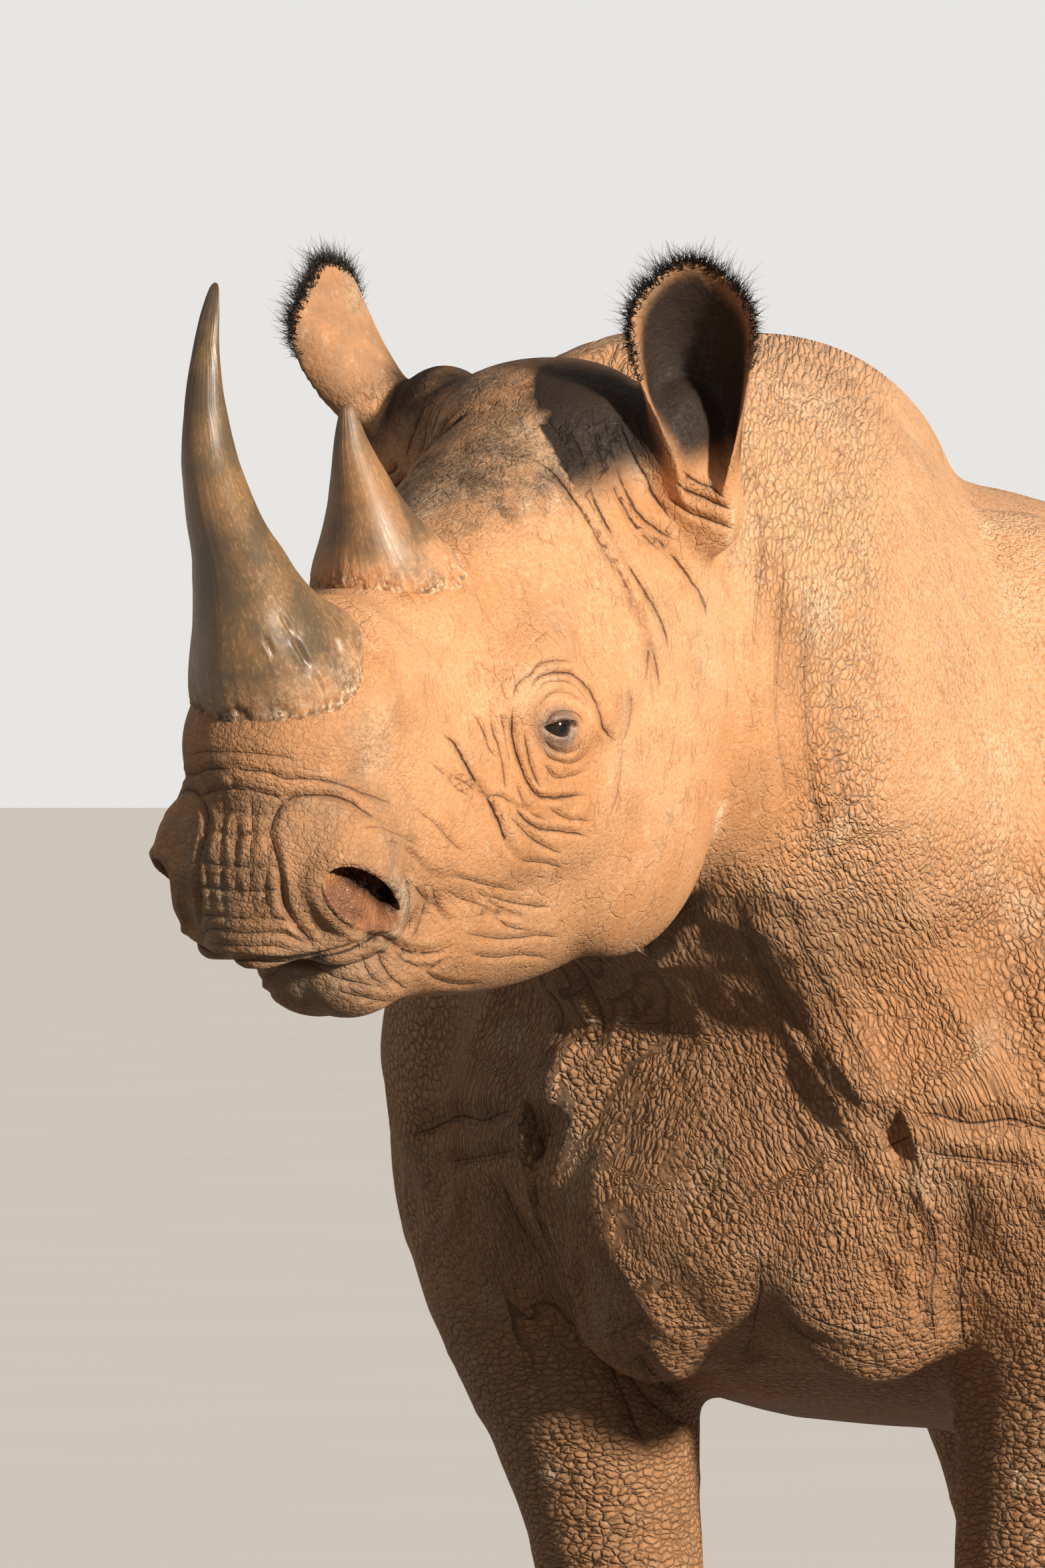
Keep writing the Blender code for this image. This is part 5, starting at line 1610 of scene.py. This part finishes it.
# ---------------------------------------------------------------- horns
HORNS = {  # head axes: x, z, half length, half width, backward tilt in degrees
    "front": [
        (0.532, 0.026, 0.044, 0.056, -40),
        (0.533, 0.050, 0.056, 0.064, -37),
        (0.532, 0.075, 0.069, 0.073, -29),
        (0.533, 0.101, 0.079, 0.069, -17),
        (0.540, 0.128, 0.072, 0.058, -3),
        (0.552, 0.160, 0.055, 0.046, 12),
        (0.569, 0.200, 0.0405, 0.036, 15),
        (0.587, 0.242, 0.031, 0.028, 12),
        (0.597, 0.292, 0.0228, 0.0208, -1),
        (0.594, 0.338, 0.0166, 0.0156, -14),
        (0.578, 0.382, 0.0108, 0.0098, -28),
        (0.560, 0.409, 0.0070, 0.0066, -36),
        (0.550, 0.423, 0.0042, 0.0042, -40),
    ],
    "rear": [
        (0.310, 0.022, 0.050, 0.042, 13),
        (0.313, 0.042, 0.060, 0.056, 13),
        (0.316, 0.064, 0.070, 0.066, 13),
        (0.322, 0.087, 0.075, 0.068, 12),
        (0.330, 0.109, 0.071, 0.061, 12),
        (0.341, 0.133, 0.056, 0.048, 12),
        (0.352, 0.164, 0.0375, 0.0335, 11),
        (0.361, 0.199, 0.0240, 0.0212, 8),
        (0.367, 0.232, 0.0140, 0.0122, 0),
        (0.366, 0.252, 0.0074, 0.0070, -8),
        (0.365, 0.260, 0.0042, 0.0042, -10),
    ],
}
HORN_SIDES, HORN_ROUND = 14, 1.035           # the swell makes up for what the softening takes
HORN_STREAK, HORN_WAVE, HORN_RING = 0.00012, 0.0012, 0.00025
ROOT_STREAK, CRUST_RUT, CRUST_LUMP = 0.0006, 0.0014, 0.0018
HORN_CUTS = [  # depth, width and line of the front horn's gouges, as for the folds
    (3.0, 2.2, (-240, -60), (-233, -72), (-226, -84)),
    (2.6, 2.0, (-223, -88), (-219, -97), (-215, -106)),
    (2.0, 1.8, (-264, -58), (-260, -66), (-255, -74)),
    (1.6, 1.6, (-250, -40), (-244, -50), (-240, -57)),
    (1.8, 1.8, (-207, -58), (-202, -68), (-200, -76)),
]


def horn_course(which, co):
    """The place along a horn's length, in metres from its root, and its angle round the horn."""
    local = in_head(co)
    spine = np.array([(x, z) for x, z, *_ in HORNS[which]])
    lengths = np.concatenate([[0], np.cumsum(np.linalg.norm(np.diff(spine, axis=0), axis=1))])
    _, along = path_distance(local[:, [0, 2]], spine)
    reached = along * lengths[-1]
    middle = np.stack([np.interp(reached, lengths, spine[:, k]) for k in (0, 1)], axis=1)
    off = local[:, [0, 2]] - middle
    ways = np.gradient(spine, lengths, axis=0)
    way = np.stack([np.interp(reached, lengths, ways[:, k]) for k in (0, 1)], axis=1)
    fore = off[:, 0] * way[:, 1] - off[:, 1] * way[:, 0]
    return reached, np.arctan2(local[:, 1], fore)


def above_skin(co, tree):
    """How far points stand outside the skin, in metres, below 0 inside it."""
    above = np.empty(len(co))
    for k, point in enumerate(co):
        nearest, normal, _, gap = tree.find_nearest(Vector(point))
        above[k] = math.copysign(gap, (Vector(point) - nearest).dot(normal))
    return above


def make_horn(which, tree):
    bm = bmesh.new()
    rings = []
    for x, z, half_length, half_width, tilt in HORNS[which]:
        lean = math.radians(tilt)
        size = (half_length * HORN_ROUND, half_width * HORN_ROUND, half_width * HORN_ROUND)
        rings.append(add_ring(bm, Vector((x, 0, z)), Vector((math.cos(lean), 0, math.sin(lean))),
                              Vector((0, 1, 0)), size, HORN_SIDES, 2.1))
    bridge(bm, rings)
    bm.transform(HEAD)
    horn = soften(object_from(bm, f"horn_{which}_shaft"), 4)
    co, normal = points_of(horn.data), normals_of(horn.data)
    reached, turn = horn_course(which, co)
    grain = np.stack([0.05 * np.cos(turn), 0.05 * np.sin(turn), reached], axis=1)
    above = above_skin(co, tree) + 0.0050 * soft_noise(grain, (0.016, 0.016, 0.5), 17)
    above += 0.0030 * soft_noise(co, 0.005, 18)
    low = 1 - smoothstep(above, 0.006, 0.034)
    rim = 1 - smoothstep(above, 0.0035, 0.0095)
    streak = soft_noise(grain, (0.0045, 0.0045, 0.11), 11)
    streak += 0.6 * soft_noise(grain, (0.0022, 0.0022, 0.06), 12)
    wave = soft_noise(co, 0.035, 13)
    ring = soft_noise(grain, (0.08, 0.08, 0.012), 14)
    crust = cell_noise(grain, (0.006, 0.006, 0.013), 15)
    moved = HORN_STREAK * streak + HORN_WAVE * wave + HORN_RING * ring + low * ROOT_STREAK * streak
    moved -= rim * CRUST_RUT * crust ** 2
    moved += rim * CRUST_LUMP * soft_noise(co, 0.009, 16)
    if which == "front":
        facing = smoothstep(toward_eye_point(co, normal), 0.0, 0.3)
        moved += crease(seen(co), facing, HORN_CUTS)[0]
    put_points(horn.data, co + normal * moved[:, None])
    tag(horn.data, "grain", grain)
    note(horn.data, "horn", rim, low, crust)
    finish_piece(horn, horn_finish(which), "horn", f"horn_{which}")


# ---------------------------------------------------------------- eyes
CORNEA_HALF, CORNEA_RISE = 0.0118, 0.0012


def make_eye(side):
    bm = bmesh.new()
    bmesh.ops.create_uvsphere(bm, u_segments=72, v_segments=48, radius=EYE_RADIUS)
    for vert in bm.verts:
        flat = vert.co.xy.length
        if vert.co.z > 0 and flat < CORNEA_HALF:
            vert.co.z += CORNEA_RISE * (1 - (flat / CORNEA_HALF) ** 2)
    along, up, out = (Vector(axis) for axis in eye_axes())
    s = SIDES[side]
    axes = Matrix([(v.x, v.y, v.z) for v in (along, up, out)]).transposed()
    ball = object_from(bm, f"eyeball_{side}")
    tag(ball.data, "gaze", points_of(ball.data) / EYE_RADIUS)
    mirror = Matrix.Diagonal((1, s, 1, 1))
    ball.data.transform(HEAD @ mirror @ Matrix.Translation(EYE_AT) @ axes.to_4x4())
    if s < 0:
        ball.data.flip_normals()
    finish_piece(ball, eye_finish(side), "eye", f"eye_{side}")


# ---------------------------------------------------------------- nails
NAIL_HEIGHT, NAIL_DEPTH, NAIL_CLEAR = 0.036, 0.016, 0.003
NAIL_LEAN = math.radians(-14)
NAIL_RINGS, NAIL_FIBRE, NAIL_CHIPS = 0.0009, 0.0006, 0.0009
NAILS = (("inner", -50, 0.034), ("middle", 0, 0.042), ("outer", 50, 0.034))    # turn in degrees, half width
FEET = {  # x, y, half width and half depth of each foot
    "fore": {side: (s * 0.186, FORE_FOOT_Y[side] - 0.030, 0.108, 0.126) for side, s in SIDES.items()},
    "hind": {side: (s * 0.188, HIND_FOOT_Y[side] - 0.035, 0.104, 0.122) for side, s in SIDES.items()},
}


def nail_frame(which, side, turn):
    x, y, half_width, half_depth = FEET[which][side]
    angle = math.radians(SIDES[side] * turn)
    middle = Vector((x + half_width * math.sin(angle), y - half_depth * math.cos(angle), NAIL_HEIGHT)) + SHIFT
    return Matrix.Translation(middle) @ Matrix.Rotation(angle, 4, "Z")


def make_nail(which, side, label, turn, size):
    bm = bmesh.new()
    bmesh.ops.create_uvsphere(bm, u_segments=40, v_segments=28, radius=1)
    for vert in bm.verts:
        wall = min(1 / max(vert.co.xy.length, 0.5), 1.3) if vert.co.z < 0 else 1.0
        vert.co.x *= wall
        vert.co.y *= wall * (1 - 0.45 * smoothstep(vert.co.z, 0.0, 0.9))
    lean = Matrix.Rotation(NAIL_LEAN, 4, "X")
    bm.transform(nail_frame(which, side, turn) @ lean @ Matrix.Diagonal((size, NAIL_DEPTH, size, 1)))
    cut(bm, NAIL_CLEAR, way=-1, clear_outer=True)
    close_ends(bm)
    nail = object_from(bm, f"nail_{which}_{side}_{label}_wall")
    co, normal = points_of(nail.data), normals_of(nail.data)
    free = smoothstep(co[:, 2], NAIL_CLEAR + 0.001, NAIL_CLEAR + 0.006)
    moved = NAIL_RINGS * soft_noise(co, (0.030, 0.030, 0.0045), 21)
    moved += NAIL_FIBRE * soft_noise(co, (0.004, 0.004, 0.05), 22)
    moved -= NAIL_CHIPS * (1 - free) * np.abs(soft_noise(co, 0.006, 23))
    moved *= (co[:, 2] > NAIL_CLEAR + 0.0005)
    put_points(nail.data, co + normal * moved[:, None])
    finish_piece(nail, nail_finish(), "nail", f"nail_{which}_{side}_{label}")


# ---------------------------------------------------------------- tufts of hair
TUFT_PATCH, TUFT_SLIM, TUFT_TIP = 0.003, 0.35, 0.12
TUFT_JOINTS = (0.34, 0.68)


def tuft_shape():
    """A slim three-sided hair along z, one high and one wide at its root, as points and triangles."""
    bm = bmesh.new()
    bmesh.ops.create_cone(bm, cap_ends=True, cap_tris=True, segments=3, radius1=1, radius2=TUFT_TIP, depth=1,
                          matrix=Matrix.Translation((0, 0, 0.5)))
    for height in TUFT_JOINTS:
        cut(bm, height)
    bmesh.ops.triangulate(bm, faces=bm.faces[:])
    bm.verts.index_update()
    points = np.array([v.co for v in bm.verts])
    faces = np.array([[v.index for v in f.verts] for f in bm.faces])
    bm.free()
    return points, faces


def lay_tufts(name, roots, ways, bends, lengths, widths, places):
    """One mesh of many hairs: each starts at a root, sets off along its way and bends aside as it grows."""
    points, faces = tuft_shape()
    count = len(roots)
    ways = ways / np.linalg.norm(ways, axis=1)[:, None]
    side = np.cross(ways, (0.31, 0.52, 0.79))
    side /= np.linalg.norm(side, axis=1)[:, None]
    other = np.cross(ways, side)
    x, y, z = points.T
    slim = 1 - TUFT_SLIM * z
    round_it = side[:, None] * (x * slim)[:, None] + other[:, None] * (y * slim)[:, None]
    co = (roots[:, None] + ways[:, None] * (z[:, None] * lengths[:, None, None])
          + bends[:, None] * (z[:, None] ** 2 * lengths[:, None, None]) + round_it * widths[:, None, None])
    triangles = (faces[None] + (np.arange(count) * len(points))[:, None, None]).reshape(-1, 3)
    mesh = bpy.data.meshes.new(name)
    mesh.vertices.add(count * len(points))
    mesh.loops.add(triangles.size)
    mesh.polygons.add(len(triangles))
    mesh.vertices.foreach_set("co", co.astype(np.float32).ravel())
    mesh.loops.foreach_set("vertex_index", triangles.astype(np.int32).ravel())
    mesh.polygons.foreach_set("loop_start", np.arange(0, triangles.size, 3, dtype=np.int32))
    uv = places[:, None] + TUFT_PATCH / 2 * np.stack([x, 2 * z - 1], axis=1)[None]
    layer = mesh.uv_layers.new(name="OFBake")
    layer.data.foreach_set("uv", uv.reshape(-1, 2)[triangles.ravel()].astype(np.float32).ravel())
    mesh.update(calc_edges=True)
    mesh.validate()
    return new_object(name, mesh)


FRINGE_COUNT = 1900
FRINGE_FROM = 0.084                         # metres up the ear where its fringe starts
FRINGE_SEED = {"left": 31, "right": 32}
FRINGE_LENGTH = (0.0060, 0.0055)            # at the fringe's foot, and what is added by the top
FRINGE_WIDTH = (0.00030, 0.00060)


def fringe_rim(side, sheet):
    """Columns for the rim's edges: their ends, the ways out of and off the sheet, height and length."""
    bm = bmesh.new()
    bm.from_mesh(sheet.data)
    bm.normal_update()
    to_ear = ear_place(side).inverted()
    rim = []
    for edge in bm.edges:
        start, end = (vert.co for vert in edge.verts)
        middle = (start + end) / 2
        height = (to_ear @ middle).z
        if edge.is_boundary and height > FRINGE_FROM:
            face = edge.link_faces[0]
            course = (end - start).normalized()
            out = middle - face.calc_center_median()
            out = (out - course * out.dot(course)).normalized()
            rim.append((start[:], end[:], out[:], face.normal[:], height, edge.calc_length()))
    bm.free()
    return [np.array(column) for column in zip(*rim)]


def make_fringe(side, sheet):
    """The short dark hair that stands off an ear's rim."""
    starts, ends, outs, faces, heights, lengths = fringe_rim(side, sheet)
    random = np.random.default_rng(FRINGE_SEED[side])
    top = heights.max()
    chance = lengths * (0.35 + 0.65 * smoothstep(heights, FRINGE_FROM, FRINGE_FROM + 0.035))
    chosen = random.choice(len(starts), FRINGE_COUNT, p=chance / chance.sum())
    share = random.random(FRINGE_COUNT)[:, None]
    roots = starts[chosen] * (1 - share) + ends[chosen] * share
    out, face, height = outs[chosen], faces[chosen], heights[chosen]
    across = random.uniform(-1, 1, FRINGE_COUNT)[:, None]
    inset = random.random(FRINGE_COUNT)[:, None] ** 1.6
    roots = roots - out * (0.0015 + 0.0085 * inset) + face * across * 0.0022
    lean = face * across * (0.35 + 0.5 * inset) + 0.40 * random.normal(size=(FRINGE_COUNT, 3))
    up = np.array(HEAD.to_3x3() @ Vector((0, 0, 1)))
    ways = out + lean * 0.75 + up * 0.22
    bends = 0.42 * random.normal(size=(FRINGE_COUNT, 3)) + up * 0.12
    grown = smoothstep(height, FRINGE_FROM - 0.01, top - 0.02)
    reach = (FRINGE_LENGTH[0] + FRINGE_LENGTH[1] * grown) * random.uniform(0.50, 1.30, FRINGE_COUNT)
    widths = random.uniform(*FRINGE_WIDTH, FRINGE_COUNT)
    places = np.stack([0.5 + 0.45 * (height - FRINGE_FROM) / (top - FRINGE_FROM) * np.sign(across[:, 0]),
                       0.1 + 0.8 * (chosen + share[:, 0]) / len(starts)], axis=1)
    fringe = lay_tufts(f"fringe_{side}", roots, ways, bends, reach, widths, places)
    finish_piece(fringe, hair_finish(), "skin")


TAIL_TUFT_COUNT = 2200
TAIL_TUFT_TOP, TAIL_TUFT_DROP, TAIL_HAIR_FOOT = 0.735, 0.135, 0.545
TAIL_HAIR_WIDTH = (0.0004, 0.0008)


def make_tail_tuft():
    """Stiff dark hair down both edges and the end of the tail."""
    random = np.random.default_rng(41)
    count = TAIL_TUFT_COUNT
    down = random.random(count) ** 0.7
    edge = np.where(random.random(count) < 0.5, 0.0, math.pi) + 0.9 * random.normal(size=count)
    z = TAIL_TUFT_TOP - TAIL_TUFT_DROP * down
    y = SHIFT.y + np.interp(z, (0.600, 0.660, 0.720, 0.800), (1.132, 1.134, 1.136, 1.137))
    half = np.interp(z, (0.600, 0.660, 0.735), (0.0110, 0.0140, 0.0150))
    depth = np.interp(z, (0.600, 0.660, 0.735), (0.0080, 0.0100, 0.0130))
    out = np.stack([np.cos(edge), 0.8 * np.sin(edge), np.zeros(count)], axis=1)
    roots = np.stack([half * np.cos(edge), y + depth * np.sin(edge), z], axis=1)
    ways = out * (0.42 - 0.25 * down)[:, None] + (0, 0, -1) + 0.07 * random.normal(size=(count, 3))
    bends = -0.16 * out + 0.06 * random.normal(size=(count, 3))
    reach = (z - TAIL_HAIR_FOOT) * random.uniform(0.55, 1.0, count) + 0.012
    widths = random.uniform(*TAIL_HAIR_WIDTH, count)
    places = np.stack([0.5 + 0.45 * edge / (2 * math.pi + 3), 0.1 + 0.8 * down], axis=1)
    tuft = lay_tufts("tail_tuft", roots, ways, bends, reach, widths, np.clip(places, 0.01, 0.99))
    finish_piece(tuft, hair_finish(), "skin")


LASH_COUNT = 90
LASH_LENGTH, LASH_WIDTH = (0.004, 0.0085), (0.00012, 0.00020)


def make_lashes(side):
    """A row of short lashes along the upper lid."""
    random = np.random.default_rng(51)
    axes = eye_axes()
    share = random.uniform(-0.92, 0.92, LASH_COUNT)
    x = LID_HALF * share
    y = LID_RISE * (1 - share ** 2) ** 0.8 + random.uniform(0.0002, 0.0016, LASH_COUNT)
    z = np.sqrt(np.clip(LID_RADIUS ** 2 - x ** 2 - y ** 2, 1e-6, None)) - 0.0005
    roots = np.stack([x, y, z], axis=1)
    down = -0.30 + 0.10 * random.normal(size=LASH_COUNT)
    ways = np.stack([0.45 * share, down, np.ones(LASH_COUNT)], axis=1)
    curl = 0.25 + 0.1 * random.normal(size=LASH_COUNT)
    bends = np.stack([0.2 * share, curl, -0.3 * np.ones(LASH_COUNT)], axis=1)
    reach = random.uniform(*LASH_LENGTH, LASH_COUNT)
    widths = random.uniform(*LASH_WIDTH, LASH_COUNT)
    mirror = np.array((1, SIDES[side], 1))

    def placed(vectors, at):
        return (vectors @ axes + at) * mirror @ HEAD_TURNED.T

    roots = placed(roots, np.array(EYE_AT)) + np.array(HEAD_AT)
    places = np.stack([0.5 + 0.4 * share, np.full(LASH_COUNT, 0.5) + 20 * (y - LID_RISE)], axis=1)
    lashes = lay_tufts(f"lashes_{side}", roots, placed(ways, 0), placed(bends, 0), reach, widths, places)
    finish_piece(lashes, hair_finish(), "skin")


# ---------------------------------------------------------------- scene
SENSOR = 36
CLIP_END = 2000
FLOOR_RADIUS, FLOOR_DARKER, FLOOR_PALER = 900.0, (0.82, 0.79, 0.75), (0.88, 0.85, 0.81)
PALE_TONE = (0.80, 0.79, 0.77)
KEY_WAY = (0.71, 0.66, 0.24)                # to the key light: right, back towards the eye point, and up
KEY_POWER, KEY_SPREAD, KEY_TONE = 5.3, 0.09, (1.0, 0.91, 0.79)
FILL_TONE = (1.0, 0.98, 0.95)
FILL_BELOW, FILL_ABOVE, FILL_BLEND = 0.05, 0.34, 0.40


def make_camera():
    camera = new_object("camera", bpy.data.cameras.new("camera"))
    camera.location = EYE_POINT
    camera.rotation_mode = "QUATERNION"
    camera.rotation_quaternion = Vector(-SIGHT_BACK).to_track_quat("-Z", "Y")
    camera.data.sensor_width = SENSOR
    camera.data.lens = SENSOR * SIGHT_FAR / VIEW_TALL
    camera.data.clip_end = CLIP_END
    bpy.context.scene.camera = camera


def make_world():
    """A dim fill that is weaker from below. The pale backdrop is seen but lights nothing."""
    world = bpy.data.worlds.new("studio")
    bpy.context.scene.world = world
    world.use_nodes = True
    nodes, links = world.node_tree.nodes, world.node_tree.links
    fill, backdrop = nodes["Background"], nodes.new("ShaderNodeBackground")
    way, height = nodes.new("ShaderNodeTexCoord"), nodes.new("ShaderNodeSeparateXYZ")
    level, path = nodes.new("ShaderNodeMapRange"), nodes.new("ShaderNodeLightPath")
    blend = nodes.new("ShaderNodeMixShader")
    for socket, value in zip(level.inputs[1:5], (-FILL_BLEND, FILL_BLEND, FILL_BELOW, FILL_ABOVE)):
        socket.default_value = value
    fill.inputs[0].default_value = (*FILL_TONE, 1)
    backdrop.inputs[0].default_value = (*PALE_TONE, 1)
    backdrop.inputs[1].default_value = 1.0
    for given, taken in ((way.outputs["Generated"], height.inputs[0]), (height.outputs[2], level.inputs[0]),
                         (level.outputs[0], fill.inputs[1]), (path.outputs["Is Camera Ray"], blend.inputs[0]),
                         (fill.outputs[0], blend.inputs[1]), (backdrop.outputs[0], blend.inputs[2]),
                         (blend.outputs[0], nodes["World Output"].inputs[0])):
        links.new(given, taken)


def make_studio():
    """One warm key light from the animal's left, the fill, and a pale floor as wide as the eye reaches."""
    key = new_object("key", bpy.data.lights.new("key", "SUN"))
    key.data.energy, key.data.angle, key.data.color = KEY_POWER, KEY_SPREAD, KEY_TONE
    way = KEY_WAY[0] * SIGHT_RIGHT + KEY_WAY[1] * SIGHT_BACK + np.array((0, 0, KEY_WAY[2]))
    key.rotation_mode = "QUATERNION"
    key.rotation_quaternion = Vector(way).to_track_quat("Z", "Y")
    make_world()
    bm = bmesh.new()
    bmesh.ops.create_circle(bm, cap_ends=True, segments=96, radius=FLOOR_RADIUS)
    floor = object_from(bm, "floor")
    if floor.data.polygons[0].normal.z < 0:
        floor.data.flip_normals()
    f = Finish("floor")
    tone = f.mix(f.noise(0.8, detail=4.0), FLOOR_DARKER, FLOOR_PALER)
    floor.data.materials.append(f.finish(tone, 0.9, 0.1))
    floor.visible_diffuse = False


def main():
    skin, sheets = make_flesh()
    put_points(skin.data, points_of(skin.data) - normals_of(skin.data) * COAT_DEPTH)
    level_soles(skin)
    model_swells(skin)
    co = points_of(skin.data)
    nose_gap = np.linalg.norm(left_half(co) - NOSE_AT, axis=1)
    refine(skin, (eye_gap(co) < 0.085) | (nose_gap < 0.080))
    refine(skin, eye_gap(points_of(skin.data)) < 0.034)
    model_lids(skin)
    model_face(skin)
    model_body(skin)
    lighten(skin)
    mark_hide(skin, sheets)
    legs = [f"{which}leg_{side}" for which in FEET for side in SIDES]
    ears = [f"ear_{side}" for side in SIDES]
    finish_piece(skin, skin_finish(), "skin", "head", "neck", "trunk", "tail", *legs, *ears)
    tree = BVHTree.FromObject(skin, bpy.context.evaluated_depsgraph_get())
    for which in HORNS:
        make_horn(which, tree)
    for side, sheet in sheets.items():
        make_eye(side)
        make_lashes(side)
        make_fringe(side, sheet)
        bpy.data.objects.remove(sheet)
        for which in FEET:
            for label, turn, size in NAILS:
                make_nail(which, side, label, turn, size)
    make_tail_tuft()
    make_camera()
    make_studio()
    bpy.context.scene.view_settings.view_transform = "Standard"


main()
